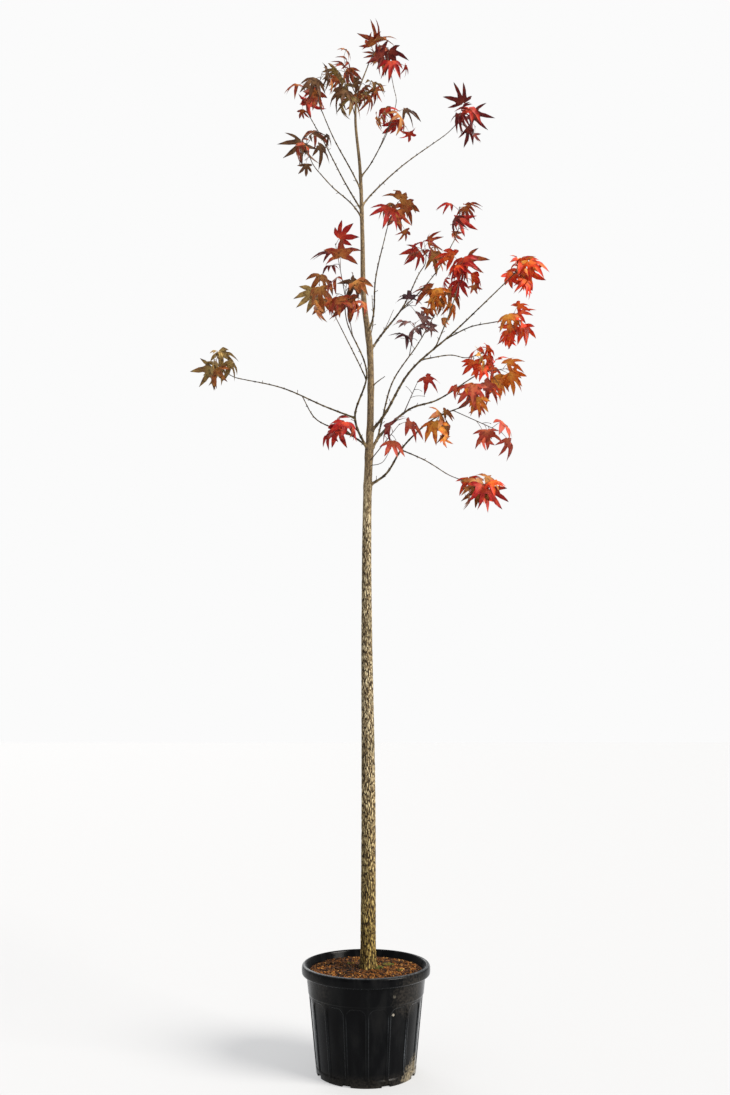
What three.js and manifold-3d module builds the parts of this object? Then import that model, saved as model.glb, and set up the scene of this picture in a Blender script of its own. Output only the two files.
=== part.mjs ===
// A young sweetgum in autumn leaf, standing in a round nursery pot.
// Millimetres, +Z up. The origin is the middle of the pot's underside, +X is the crown's wide side.
// The tree is a trunk, the boughs that leave it, and the masses of leaves that the boughs carry.

import * as THREE from 'three';
import { mergeVertices } from 'three/addons/utils/BufferGeometryUtils.js';
import Module from 'manifold-3d';

const wasm = await Module();
wasm.setup();

// The gap that pieces keep between them where they meet, how near corners are one corner,
// and the height of the slivers that go when pieces have been joined.
const GAP = 0.3;
const WELD = 1e-3;
const SLIVER = 0.05;

// The pot: a tapered wall with upright panels, a plain band above them and a rolled lip.
const POT = {
  height: 385,
  footRadius: 190,
  bandFoot: 283,
  bandFootRadius: 222,
  neck: 345,
  neckRadius: 230,
  lipRadius: 250,
  wall: 4,
  floor: 6,
  panels: 16,
  panelDepth: 5,
  panelFoot: 22,
  panelHead: 272,
  panelEase: 8,
  lipRound: 8,
  lipWidth: 18,
  drains: 8,
  drainWidth: 34,
  drainHeight: 11,
  drainReach: 14,
};

// The compost, a little below the lip, with a low hump round the trunk's foot.
const SOIL = { top: 365, hump: 4, humpRadius: 45, flatFrom: 120, sides: 32 };

// The trunk's middle line from the compost to the leader's tip.
const TRUNK_LINE = [
  [8, 0, 369], [10, 2, 1000], [3, 5, 1750], [6, 8, 2250], [20, 9, 2640], [18, 6, 2940],
  [-9, 0, 3180], [-16, -4, 3500], [-27, -3, 3836], [-49, 0, 4100], [-42, 3, 4228], [10, 4, 4396],
];

// The trunk's thickness at some heights, with the root flare at the foot.
const TRUNK_GIRTH = [
  [369, 76], [395, 66], [450, 60], [1100, 55.5], [1900, 41], [2440, 35], [2600, 30],
  [3000, 27], [3300, 22], [3560, 18], [4100, 12], [4300, 7], [4396, 5],
];

// Each bough leaves its parent at a height on the trunk, or at a share of a bough's length,
// passes its bends and ends at its tip. thick is its diameter at the foot and at the tip.
const BOUGHS = {
  bough_low_right: {
    on: 'trunk', at: 2312, thick: [11, 5],
    bends: [[86, -30, 2357], [163, -80, 2468], [285, -128, 2570]], tip: [402, -166, 2610],
  },
  bough_low_right_fork: {
    on: 'bough_low_right', at: 0.41, thick: [6, 4],
    bends: [[257, -10, 2424]], tip: [350, 55, 2386],
  },
  bough_middle_right: {
    on: 'trunk', at: 2450, thick: [14, 5],
    bends: [[58, 30, 2544], [198, 80, 2692], [323, 110, 2746]], tip: [490, 145, 2868],
  },
  bough_inner_right: {
    on: 'bough_middle_right', at: 0.14, thick: [8.5, 4.5],
    bends: [[72, 60, 2633], [124, 120, 2841], [243, 170, 3045]], tip: [322, 190, 3195],
  },
  bough_wide_right: {
    on: 'trunk', at: 2555, thick: [13, 4.5],
    bends: [[79, -30, 2622], [192, -70, 2809], [385, -110, 2977]], tip: [608, -132, 3194],
  },
  bough_wide_right_back: {
    on: 'bough_wide_right', at: 0.44, thick: [6, 4],
    bends: [[376, -25, 2905]], tip: [432, 15, 2911],
  },
  bough_wide_right_upper: {
    on: 'bough_wide_right', at: 0.53, thick: [6, 4],
    bends: [[369, -60, 3083]], tip: [402, -28, 3190],
  },
  bough_wide_right_front: {
    on: 'bough_wide_right', at: 0.6, thick: [6, 4],
    bends: [[450, -160, 2976]], tip: [545, -208, 2975],
  },
  bough_tall_right: {
    on: 'trunk', at: 2935, thick: [11, 4.5],
    bends: [[62, 52, 3024], [175, 180, 3236], [258, 290, 3462]], tip: [288, 335, 3530],
  },
  bough_tall_right_fork: {
    on: 'bough_tall_right', at: 0.49, thick: [6, 4],
    bends: [[259, 182, 3318], [350, 200, 3447]], tip: [430, 216, 3606],
  },
  bough_front: {
    on: 'trunk', at: 3020, thick: [9, 4],
    bends: [[33, -60, 3077], [42, -190, 3187]], tip: [84, -318, 3326],
  },
  bough_high_right: {
    on: 'trunk', at: 3645, thick: [8, 4],
    bends: [[24, 20, 3720], [173, 100, 3924]], tip: [380, 164, 4130],
  },
  bough_high_front: {
    on: 'trunk', at: 3795, thick: [6.5, 4.5],
    bends: [[19, -35, 3838]], tip: [74, -98, 3906],
  },
  bough_high_front_shoot: {
    on: 'bough_high_front', at: 0.86, thick: [3.6, 3],
    bends: [[128, -105, 4060], [140, -108, 4120]], tip: [128, -110, 4190],
  },
  bough_arched_left: {
    on: 'trunk', at: 2462, thick: [12, 5],
    bends: [[-47, -90, 2589], [3, -180, 2757]], tip: [-72, -255, 2930],
  },
  bough_arched_left_fork: {
    on: 'bough_arched_left', at: 0.6, thick: [6, 4],
    bends: [[-36, -125, 2835]], tip: [-108, -45, 3020],
  },
  bough_long_left: {
    on: 'bough_arched_left', at: 0.3, thick: [8, 4],
    bends: [[-178, -52, 2655], [-375, 38, 2776]], tip: [-583, 108, 2850],
  },
  bough_back_left: {
    on: 'trunk', at: 2486, thick: [9, 4],
    bends: [[-71, 80, 2572], [-228, 160, 2673]], tip: [-296, 186, 2795],
  },
  bough_upper_left: {
    on: 'trunk', at: 3590, thick: [7, 4],
    bends: [[-65, -40, 3636], [-150, -122, 3668]], tip: [-214, -178, 3712],
  },
  bough_tall_left: {
    on: 'trunk', at: 3622, thick: [8, 4],
    bends: [[-104, 100, 3845], [-206, 190, 4117]], tip: [-284, 238, 4300],
  },
  bough_steep_left: {
    on: 'trunk', at: 3730, thick: [7.5, 4],
    bends: [[-64, -20, 3812], [-147, -70, 3948]], tip: [-205, -98, 4078],
  },
  bare_spur_low: {
    on: 'trunk', at: 2765, thick: [6, 3],
    bends: [[50, -10, 2785]], tip: [84, -20, 2807],
  },
  bare_spur_upper: {
    on: 'trunk', at: 2990, thick: [6, 2.5],
    bends: [[32, 26, 3080]], tip: [28, 34, 3221],
  },
};

// Each mass grows from a bough's tip, or from a share of its length or a height on the trunk.
// middle is the middle of its space and room the space's reach. hang is how far its leaves droop.
const MASSES = {
  leaves_top: {
    on: 'trunk', at: 'tip', leaves: 6, hang: 0.45, seed: 1,
    middle: [62, 0, 4482], room: 146,
  },
  leaves_leader_left: {
    on: 'trunk', at: 4225, leaves: 4, hang: 0.5, seed: 6,
    middle: [-110, 95, 4435], room: 155,
  },
  leaves_leader_front: {
    on: 'trunk', at: 4110, leaves: 4, hang: 0.8, seed: 5,
    middle: [-84, -110, 4150], room: 118,
  },
  leaves_leader_right: {
    on: 'trunk', at: 4180, leaves: 5, hang: 0.8, seed: 4,
    middle: [22, 108, 4348], room: 130,
  },
  leaves_high_shoot: {
    on: 'bough_high_front_shoot', at: 'tip', leaves: 3, hang: 0.9, seed: 5,
    middle: [100, -140, 4300], room: 118,
  },
  leaves_high_front: {
    on: 'bough_high_front', at: 'tip', leaves: 5, hang: 0.9, seed: 6,
    middle: [125, -135, 3995], room: 145,
  },
  leaves_high_right: {
    on: 'bough_high_right', at: 'tip', leaves: 6, hang: 0.8, seed: 4,
    middle: [500, 180, 4249], room: 172,
  },
  leaves_steep_left: {
    on: 'bough_steep_left', at: 'tip', leaves: 6, hang: 0.9, seed: 3,
    middle: [-205, -100, 4224], room: 138,
  },
  leaves_tall_left: {
    on: 'bough_tall_left', at: 'tip', leaves: 4, hang: 0.9, seed: 3,
    middle: [-300, 250, 4427], room: 132,
  },
  leaves_upper_left: {
    on: 'bough_upper_left', at: 'tip', leaves: 6, hang: 0.8, seed: 4,
    middle: [-265, -195, 3840], room: 155,
  },
  leaves_front: {
    on: 'bough_front', at: 'tip', leaves: 5, hang: 0.85, seed: 3,
    middle: [132, -360, 3400], room: 140,
  },
  leaves_tall_right: {
    on: 'bough_tall_right', at: 'tip', leaves: 6, hang: 0.5, seed: 4,
    middle: [297, 380, 3638], room: 160,
  },
  leaves_tall_right_fork: {
    on: 'bough_tall_right_fork', at: 'tip', leaves: 5, hang: 0.8, seed: 3,
    middle: [459, 220, 3742], room: 140,
  },
  leaves_tall_right_low: {
    on: 'bough_tall_right', at: 0.47, leaves: 2, hang: 0.5, seed: 1,
    middle: [213, 85, 3190], room: 118,
  },
  leaves_inner_right: {
    on: 'bough_inner_right', at: 'tip', leaves: 6, hang: 0.9, seed: 4,
    middle: [345, 205, 3277], room: 140,
  },
  leaves_inner_shade: {
    on: 'bough_inner_right', at: 0.66, leaves: 5, hang: 0.4, seed: 4,
    middle: [222, 25, 3060], room: 130,
  },
  leaves_wide_right: {
    on: 'bough_wide_right', at: 'tip', leaves: 7, hang: 0.85, seed: 1,
    middle: [690, -130, 3245], room: 158,
  },
  leaves_wide_right_upper: {
    on: 'bough_wide_right_upper', at: 'tip', leaves: 7, hang: 0.85, seed: 4,
    middle: [433, -20, 3318], room: 160,
  },
  leaves_wide_right_front: {
    on: 'bough_wide_right_front', at: 'tip', leaves: 5, hang: 0.8, seed: 3,
    middle: [637, -230, 2938], room: 140,
  },
  leaves_wide_right_back: {
    on: 'bough_wide_right_back', at: 'tip', leaves: 4, hang: 0.6, seed: 6,
    middle: [518, 40, 2914], room: 125,
  },
  leaves_middle_right: {
    on: 'bough_middle_right', at: 'tip', leaves: 6, hang: 0.5, seed: 4,
    middle: [650, 165, 2897], room: 148,
  },
  leaves_middle_spur: {
    on: 'bough_middle_right', at: 0.42, leaves: 1, hang: 0.8, seed: 3,
    middle: [228, -5, 2750], room: 125,
  },
  leaves_low_right: {
    on: 'bough_low_right', at: 'tip', leaves: 4, hang: 0.9, seed: 4,
    middle: [449, -180, 2654], room: 122,
  },
  leaves_low_right_end: {
    on: 'bough_low_right', at: 0.93, leaves: 3, hang: 0.85, seed: 2,
    middle: [558, -200, 2452], room: 125,
  },
  leaves_low_right_inner: {
    on: 'bough_low_right', at: 0.72, leaves: 3, hang: 0.85, seed: 4,
    middle: [310, -150, 2515], room: 118,
  },
  leaves_low_right_fork: {
    on: 'bough_low_right_fork', at: 'tip', leaves: 7, hang: 0.9, seed: 4,
    middle: [515, 80, 2300], room: 180,
  },
  leaves_trunk_front: {
    on: 'trunk', at: 2420, leaves: 3, hang: 0.85, seed: 5,
    middle: [137, -200, 2482], room: 118,
  },
  leaves_arched_left: {
    on: 'bough_arched_left', at: 'tip', leaves: 6, hang: 0.9, seed: 2,
    middle: [-81, -300, 3062], room: 135,
  },
  leaves_arched_left_top: {
    on: 'bough_arched_left', at: 0.93, leaves: 4, hang: 0.4, seed: 4,
    middle: [-128, -295, 3266], room: 145,
  },
  leaves_arched_left_fork: {
    on: 'bough_arched_left_fork', at: 'tip', leaves: 6, hang: 0.9, seed: 4,
    middle: [-208, -40, 3190], room: 140,
  },
  leaves_long_left: {
    on: 'bough_long_left', at: 'tip', leaves: 6, hang: 0.85, seed: 4,
    middle: [-689, 120, 2890], room: 155,
  },
  leaves_back_left: {
    on: 'bough_back_left', at: 0.25, leaves: 4, hang: 0.9, seed: 2,
    middle: [-112, 20, 2556], room: 125,
  },
};

// A leaf: the ways and shares of its five fingers, the notches between them, and the curl that
// bends them down. neck is how far before the hub the rear fingers run into the stalk, and neckBehind
// the least share of it that is straight behind the hub.
const LEAF = {
  length: 96,
  thickness: 3,
  fingers: [0, 50, 104],
  fingerShares: [1, 0.94, 0.68],
  notches: [25, 77],
  notchShare: 0.29,
  curl: 0.4,
  stalk: 52,
  stalkRadius: 1.7,
  neck: 9,
  neckBehind: 0.35,
};

// How far above the middle of its space a stem ends where its leaves hang straight down.
const STEM_LIFT = 45;

const GOLDEN_ANGLE = 137.5 * Math.PI / 180;
const DOWN = new THREE.Vector3(0, 0, -1);
const UP = new THREE.Vector3(0, 0, 1);

// ---------------------------------------------------------------------------------------------
// Solids

function toSolid(geometry) {
  const plain = geometry.clone();
  plain.deleteAttribute('normal');
  plain.deleteAttribute('uv');
  const merged = mergeVertices(plain, WELD);
  const vertProperties = new Float32Array(merged.attributes.position.array);
  const triVerts = new Uint32Array(merged.index.array);
  return new wasm.Manifold(new wasm.Mesh({ numProp: 3, vertProperties, triVerts }));
}

function toGeometry(solid) {
  const { vertProperties, triVerts } = solid.getMesh();
  const geometry = new THREE.BufferGeometry();
  geometry.setAttribute('position', new THREE.BufferAttribute(vertProperties, 3));
  geometry.setIndex(new THREE.BufferAttribute(triVerts, 1));
  geometry.computeVertexNormals();
  return geometry;
}

// The largest body alone, with no slivers: loose scraps and sealed hollows go.
function largestBody(solid) {
  const welded = toSolid(toGeometry(solid.simplify(SLIVER)));
  return welded.decompose().reduce((best, body) => (body.volume() > best.volume() ? body : best));
}

function joined(solids) {
  return solids.reduce((whole, solid) => whole.add(solid));
}

// A number between 0 and 1 on each call, the same ones for the same seed.
function seeded(seed) {
  let state = (seed * 69621 + 12345) % 2147483647;
  return () => {
    state = (state * 16807) % 2147483647;
    return state / 2147483647;
  };
}

// ---------------------------------------------------------------------------------------------
// Limbs

// A closed tapering limb: the rings of a cylinder, moved onto a curve.
function limbGeometry(limb, sides, steps, grown = 0) {
  const geometry = new THREE.CylinderGeometry(1, 1, 1, sides, steps);
  const frames = limb.curve.computeFrenetFrames(steps, false);
  const position = geometry.attributes.position;
  const place = new THREE.Vector3();
  for (let i = 0; i < position.count; i += 1) {
    const ring = Math.round((position.getY(i) + 0.5) * steps);
    const share = ring / steps;
    const radius = limb.radiusAt(share) + grown;
    limb.curve.getPointAt(share, place);
    place.addScaledVector(frames.binormals[ring], position.getX(i) * radius);
    place.addScaledVector(frames.normals[ring], position.getZ(i) * radius);
    position.setXYZ(i, place.x, place.y, place.z);
  }
  return geometry;
}

function curveThrough(points) {
  return new THREE.CatmullRomCurve3(points.map((point) => new THREE.Vector3(...point)));
}

// The trunk's radius at a height, straight between the stated ones.
function trunkRadius(height) {
  const above = TRUNK_GIRTH.findIndex(([level]) => level >= height);
  if (above === -1) return TRUNK_GIRTH.at(-1)[1] / 2;
  if (above === 0) return TRUNK_GIRTH[0][1] / 2;
  const [lowLevel, lowGirth] = TRUNK_GIRTH[above - 1];
  const [highLevel, highGirth] = TRUNK_GIRTH[above];
  return THREE.MathUtils.mapLinear(height, lowLevel, highLevel, lowGirth, highGirth) / 2;
}

function makeTrunk() {
  const curve = curveThrough(TRUNK_LINE);
  return {
    curve,
    radiusAt: (share) => trunkRadius(curve.getPointAt(share).z),
  };
}

// The share of the trunk's length at which it reaches a height.
function shareAtHeight(trunk, height) {
  let low = 0;
  let high = 1;
  while (high - low > 1e-5) {
    const middle = (low + high) / 2;
    if (trunk.curve.getPointAt(middle).z < height) low = middle;
    else high = middle;
  }
  return low;
}

function footShare(limbs, { on, at }) {
  if (at === 'tip') return 1;
  return on === 'trunk' ? shareAtHeight(limbs.trunk, at) : at;
}

function makeBough(limbs, bough) {
  const parent = limbs[bough.on];
  const foot = parent.curve.getPointAt(footShare(limbs, bough));
  const curve = curveThrough([foot.toArray(), ...bough.bends, bough.tip]);
  const [thickFoot, thickTip] = bough.thick;
  return {
    curve,
    radiusAt: (share) => THREE.MathUtils.lerp(thickFoot, thickTip, share ** 0.8) / 2,
    on: bough.on,
  };
}

function makeLimbs() {
  const limbs = { trunk: makeTrunk() };
  for (const [name, bough] of Object.entries(BOUGHS)) limbs[name] = makeBough(limbs, bough);
  return limbs;
}

const TRUNK_SIDES = 12;
const TRUNK_STEPS = 32;
const BOUGH_SIDES = 5;
const BOUGH_STEPS = 8;

function limbSolid(name, limb, grown = 0) {
  const isTrunk = name === 'trunk';
  const sides = isTrunk ? TRUNK_SIDES : BOUGH_SIDES;
  const steps = isTrunk ? TRUNK_STEPS : BOUGH_STEPS;
  return toSolid(limbGeometry(limb, sides, steps, grown));
}

// ---------------------------------------------------------------------------------------------
// Leaves

// The outline's corners from the rear finger on one side round to the other: ways and shares of reach.
function leafCorners() {
  const half = LEAF.fingers.flatMap((way, i) => {
    const finger = [way, LEAF.fingerShares[i]];
    return i < LEAF.notches.length ? [finger, [LEAF.notches[i], LEAF.notchShare]] : [finger];
  });
  const mirrored = half.slice(1).reverse().map(([way, share]) => [-way, share]);
  return [...mirrored, ...half].map(([way, share]) => [THREE.MathUtils.degToRad(way), share]);
}

// A place on a leaf's blade: the way from the hub, the share of the leaf's reach, and the curl's drop.
function bladePoint({ turn, size, bend }, angle, share) {
  const reach = share * LEAF.length * size;
  const drop = -LEAF.curl * bend * reach * share;
  return new THREE.Vector3(Math.cos(angle) * reach, Math.sin(angle) * reach, drop).applyMatrix4(turn);
}

// Three corners round a stalk: left, top and right.
function stalkRing(centre, side, top) {
  const radius = LEAF.stalkRadius;
  return [
    centre.clone().addScaledVector(side, radius).addScaledVector(top, -radius / 2),
    centre.clone().addScaledVector(top, radius),
    centre.clone().addScaledVector(side, -radius).addScaledVector(top, -radius / 2),
  ];
}

// Where the stalk reaches a leaf's neck: behind the hub, also where the blade hangs back over its stalk.
function neckPlace({ node, stalkEnd, turn }) {
  const [middle, side, face] = [new THREE.Vector3(), new THREE.Vector3(), new THREE.Vector3()];
  turn.extractBasis(middle, side, face);
  const back = node.clone().sub(stalkEnd).normalize();
  const ahead = Math.min(back.dot(middle), -LEAF.neckBehind);
  const way = middle.multiplyScalar(ahead).addScaledVector(side, back.dot(side) / 2)
    .addScaledVector(face, back.dot(face));
  return stalkEnd.clone().addScaledVector(way.normalize(), LEAF.neck);
}

// One leaf on its stalk, closed: a star of five fingers, thickest at its hub, whose rear fingers
// run into a three-sided stalk. The stalk's root is on the stem's middle line.
function leafGeometry(leaf) {
  const [side, face] = [new THREE.Vector3(), new THREE.Vector3()];
  leaf.turn.extractBasis(new THREE.Vector3(), side, face);
  const neckCentre = neckPlace(leaf);
  const way = neckCentre.clone().sub(leaf.node).normalize();
  const across = side.clone().addScaledVector(way, -side.dot(way)).normalize();
  const top = new THREE.Vector3().crossVectors(way, across);
  const outline = leafCorners().map(([angle, share]) => bladePoint(leaf, angle, share));
  const vertices = [
    ...stalkRing(leaf.node, across, top),
    ...stalkRing(neckCentre, across, top),
    leaf.stalkEnd.clone().addScaledVector(face, LEAF.thickness / 2),
    leaf.stalkEnd.clone().addScaledVector(face, -LEAF.thickness / 2),
    ...outline,
  ];
  const [rootLeft, rootTop, rootRight, left, upper, right, hubTop, hubFoot] = [0, 1, 2, 3, 4, 5, 6, 7];
  const first = 8;
  const last = first + outline.length - 1;
  const faces = [
    [rootLeft, rootRight, rootTop],
    [upper, left, rootLeft], [upper, rootLeft, rootTop],
    [right, upper, rootTop], [right, rootTop, rootRight],
    [left, right, rootRight], [left, rootRight, rootLeft],
    [hubTop, last, left], [hubTop, left, upper], [hubTop, upper, right], [hubTop, right, first],
    [hubFoot, left, last], [hubFoot, right, left], [hubFoot, first, right],
  ];
  for (let corner = first; corner < last; corner += 1) {
    faces.push([hubTop, corner, corner + 1], [hubFoot, corner + 1, corner]);
  }
  const geometry = new THREE.BufferGeometry().setFromPoints(vertices);
  return geometry.setIndex(faces.flat());
}

// Where leaf i of a mass goes at its try k: its node on the stem, its stalk's end and its blade's turn.
function placeLeaf(mass, i, k) {
  const random = seeded(mass.seed * 1009 + i * 37 + k * 7);
  random();
  random();
  const back = i / mass.leaves;
  const share = 1 - 0.7 * back * (0.7 + 0.3 * random());
  const node = mass.line.curve.getPointAt(share);
  const along = mass.line.curve.getTangentAt(share);
  const aside = new THREE.Vector3(0.3, 1, 0.2).cross(along).normalize();
  aside.applyAxisAngle(along, i * GOLDEN_ANGLE + random() * 1.4);
  const spread = THREE.MathUtils.degToRad(28 + 38 * random() + 26 * back);
  const way = along.clone().multiplyScalar(Math.cos(spread)).addScaledVector(aside, Math.sin(spread));
  const stalkEnd = node.clone().addScaledVector(way, LEAF.stalk * (0.6 + 0.6 * random()));
  const hang = mass.hang * (0.4 + 0.6 * random());
  const middle = way.clone().lerp(DOWN, hang).normalize();
  const side = new THREE.Vector3().crossVectors(UP, middle).normalize();
  side.applyAxisAngle(middle, (random() - 0.5) * 1.8);
  const face = new THREE.Vector3().crossVectors(middle, side);
  const turn = new THREE.Matrix4().makeBasis(middle, side, face).setPosition(stalkEnd);
  const size = 0.82 + 0.3 * random();
  const bend = 0.4 + 1.2 * random();
  return { node, stalkEnd, turn, size, bend };
}

// The points by which a leaf is held against its space and its neighbours: its hub, its fingers'
// tips and the middles of its fingers.
function leafPoints(leaf) {
  const fingers = leafCorners().filter(([, share]) => share > LEAF.notchShare);
  const points = fingers.flatMap(([angle, share]) => [
    bladePoint(leaf, angle, share),
    bladePoint(leaf, angle, share * 0.55),
  ]);
  return [leaf.stalkEnd.clone(), ...points];
}

// The middles of a leaf's stalk, by which the stalk is held clear of the limbs.
function stalkPoints(leaf) {
  const neck = neckPlace(leaf);
  return [0.3, 0.65, 1].map((share) => leaf.node.clone().lerp(neck, share));
}

const LIMB_CLEARANCE = 10;
const STALK_CLEARANCE = 3;
const LEAF_CLEARANCE = 14;
const LIMB_SAMPLES = 40;

// A limb or a stem as a row of balls that stand a little proud of it, for the test of what a leaf touches.
function ballsAlong(name, line) {
  const spacing = line.curve.getLength() / LIMB_SAMPLES;
  return Array.from({ length: LIMB_SAMPLES + 1 }, (_, i) => ({
    on: name,
    place: line.curve.getPointAt(i / LIMB_SAMPLES),
    radius: line.radiusAt(i / LIMB_SAMPLES) + spacing * 0.3,
  }));
}

function allBalls(limbs, masses) {
  const ofLimbs = Object.entries(limbs).flatMap(([name, limb]) => ballsAlong(name, limb));
  return [...ofLimbs, ...masses.flatMap((mass) => ballsAlong(mass.name, mass.line))];
}

// How much deeper a point is in its own mass's space than in any other's.
const SPACE_MARGIN = 1.15;

// Whether a point is in a mass's own space: within its reach, and not in a neighbour's share.
function isInside(point, mass, masses) {
  const depth = (space) => point.distanceTo(space.place) / space.room;
  const own = depth(mass);
  return own <= 1 && masses.every((other) => other === mass || depth(other) > own * SPACE_MARGIN);
}

const TRIES = 30;

// The balls that a mass's leaves could touch: all in its space but those of its own stem.
function ballsNear(mass, balls) {
  return balls.filter((ball) => ball.on !== mass.name
    && ball.place.distanceTo(mass.place) < mass.room + ball.radius + LIMB_CLEARANCE);
}

function isClear(point, balls, clearance) {
  return balls.every((ball) => ball.place.distanceTo(point) > ball.radius + clearance);
}

// The first place that keeps a leaf inside its space and clear of the limbs and of the mass's other leaves.
function chooseLeaf(mass, i, masses, balls, taken) {
  for (let k = 0; k < TRIES; k += 1) {
    const leaf = placeLeaf(mass, i, k);
    const points = leafPoints(leaf);
    const fits = points.every((point) => isInside(point, mass, masses)
      && isClear(point, balls, LIMB_CLEARANCE)
      && taken.every((other) => other.distanceTo(point) > LEAF_CLEARANCE))
      && stalkPoints(leaf).every((point) => isClear(point, balls, STALK_CLEARANCE));
    if (fits) return { leaf, points };
  }
  return null;
}

function chooseLeaves(mass, masses, balls) {
  const leaves = [];
  const taken = [];
  const near = ballsNear(mass, balls);
  for (let i = 0; i < mass.leaves; i += 1) {
    const choice = chooseLeaf(mass, i, masses, near, taken);
    if (choice) {
      leaves.push(choice.leaf);
      taken.push(...choice.points);
    }
  }
  return leaves;
}

const STEM_SIDES = 4;
const STEM_STEPS = 3;
const STEM_RADIUS = 2.6;
const STEM_TIP_RADIUS = 1.8;

// The stem of a mass: it starts in line with the bough's tip, or at the middle of the limb it leaves,
// and ends above the middle of its space, so that its leaves hang there.
function makeStem(limbs, mass) {
  const parent = limbs[mass.on];
  const share = footShare(limbs, mass);
  const foot = parent.curve.getPointAt(share);
  const tangent = parent.curve.getTangentAt(share);
  const atTip = mass.at === 'tip';
  if (atTip) foot.addScaledVector(tangent, GAP);
  const end = new THREE.Vector3(...mass.middle).addScaledVector(UP, STEM_LIFT * mass.hang);
  const reach = end.clone().sub(foot);
  const lead = atTip ? tangent.multiplyScalar(reach.length() * 0.4) : reach.multiplyScalar(0.4);
  const curve = new THREE.QuadraticBezierCurve3(foot, foot.clone().add(lead), end);
  const thick = Math.min(parent.radiusAt(share) * (atTip ? 1 : 0.7), STEM_RADIUS);
  return { curve, radiusAt: (along) => THREE.MathUtils.lerp(thick, STEM_TIP_RADIUS, along) };
}

function makeMasses(limbs) {
  return Object.entries(MASSES).map(([name, mass]) => ({
    ...mass,
    name,
    place: new THREE.Vector3(...mass.middle),
    line: makeStem(limbs, mass),
  }));
}

function massSolid(mass, masses, balls, parentGrown) {
  const stem = toSolid(limbGeometry(mass.line, STEM_SIDES, STEM_STEPS));
  const leaves = chooseLeaves(mass, masses, balls).map((leaf) => toSolid(leafGeometry(leaf)));
  const whole = joined([stem, ...leaves]);
  return largestBody(mass.at === 'tip' ? whole : whole.subtract(parentGrown));
}

// ---------------------------------------------------------------------------------------------
// Pot and compost

const PANEL_CORNERS = 4;

function wallRadius(height) {
  return height < POT.bandFoot
    ? THREE.MathUtils.mapLinear(height, 0, POT.bandFoot, POT.footRadius, POT.bandFootRadius)
    : THREE.MathUtils.mapLinear(height, POT.bandFoot, POT.neck, POT.bandFootRadius, POT.neckRadius);
}

function innerRadius(height) {
  return wallRadius(height) - POT.wall - POT.panelDepth;
}

// The wall's outside from the foot to the neck, with a corner on each side of the panels' ends.
function outsideProfile() {
  const { panelFoot, panelHead, panelEase, neck } = POT;
  const ends = [panelFoot - panelEase, panelFoot + panelEase, panelHead - panelEase, panelHead + panelEase];
  return [0, ...ends, neck].map((height) => [wallRadius(height), height]);
}

// The rolled lip from under its outer edge, over its top and down its inner side.
function lipProfile() {
  const { lipRadius, lipRound, lipWidth, neck, height } = POT;
  return [
    [lipRadius - lipRound / 2, neck + 1],
    [lipRadius, neck + lipRound],
    [lipRadius, height - lipRound],
    [lipRadius - lipRound / 2, height - 1],
    [lipRadius - lipRound * 1.5, height],
    [lipRadius - lipWidth, height - lipRound],
  ];
}

// How far the wall stands in at a corner of its round: between the ribs, over the panels' height.
function panelInset(corner, height) {
  const inPanel = height > POT.panelFoot && height < POT.panelHead;
  return inPanel && corner % PANEL_CORNERS !== 0 ? POT.panelDepth : 0;
}

function potSolid() {
  const outside = outsideProfile();
  const profile = [
    [0, 0],
    ...outside,
    ...lipProfile(),
    [innerRadius(POT.neck), POT.neck],
    [innerRadius(POT.floor), POT.floor],
    [0, POT.floor],
  ].map(([radius, height]) => new THREE.Vector2(radius, height));
  const corners = POT.panels * PANEL_CORNERS;
  const geometry = new THREE.LatheGeometry(profile, corners).rotateX(Math.PI / 2);
  const position = geometry.attributes.position;
  for (let i = 0; i < position.count; i += 1) {
    const row = i % profile.length;
    const corner = Math.floor(i / profile.length) % corners;
    if (row >= 1 && row <= outside.length) {
      const radius = Math.hypot(position.getX(i), position.getY(i));
      const share = 1 - panelInset(corner, position.getZ(i)) / radius;
      position.setXYZ(i, position.getX(i) * share, position.getY(i) * share, position.getZ(i));
    }
  }
  const drains = Array.from({ length: POT.drains }, (_, i) => drainSolid(i));
  return largestBody(drains.reduce((pot, drain) => pot.subtract(drain), toSolid(geometry)));
}

// One drain: a slot through the foot of the wall and the rim of the floor.
function drainSolid(index) {
  const slot = new THREE.BoxGeometry(POT.drainReach * 2, POT.drainWidth, POT.drainHeight * 2);
  slot.translate(POT.footRadius, 0, 0);
  slot.rotateZ((index + 0.5) * 2 * Math.PI / POT.drains);
  return toSolid(slot);
}

function soilSolid() {
  const side = (height) => innerRadius(height) - 2 * GAP;
  const profile = [
    [0, POT.floor + GAP],
    [side(POT.floor), POT.floor + GAP],
    [side(POT.neck), POT.neck],
    [side(POT.neck) - SOIL.hump, SOIL.top - SOIL.hump],
    [SOIL.flatFrom, SOIL.top],
    [SOIL.humpRadius, SOIL.top + SOIL.hump - GAP],
    [0, SOIL.top + SOIL.hump - GAP],
  ].map(([radius, height]) => new THREE.Vector2(radius, height));
  return toSolid(new THREE.LatheGeometry(profile, SOIL.sides).rotateX(Math.PI / 2));
}

// ---------------------------------------------------------------------------------------------
// Materials

function blackPlastic() {
  return new THREE.MeshStandardMaterial({ color: 0x1d1f21, roughness: 0.45, metalness: 0 });
}

function compost() {
  return new THREE.MeshStandardMaterial({ color: 0x5a3321, roughness: 1, metalness: 0 });
}

function trunkBark() {
  return new THREE.MeshStandardMaterial({ color: 0x8a7a58, roughness: 0.95, metalness: 0 });
}

function boughBark() {
  return new THREE.MeshStandardMaterial({ color: 0x5b4a3c, roughness: 0.9, metalness: 0 });
}

function autumnLeaf() {
  return new THREE.MeshStandardMaterial({ color: 0xb23a22, roughness: 0.6, metalness: 0 });
}

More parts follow.
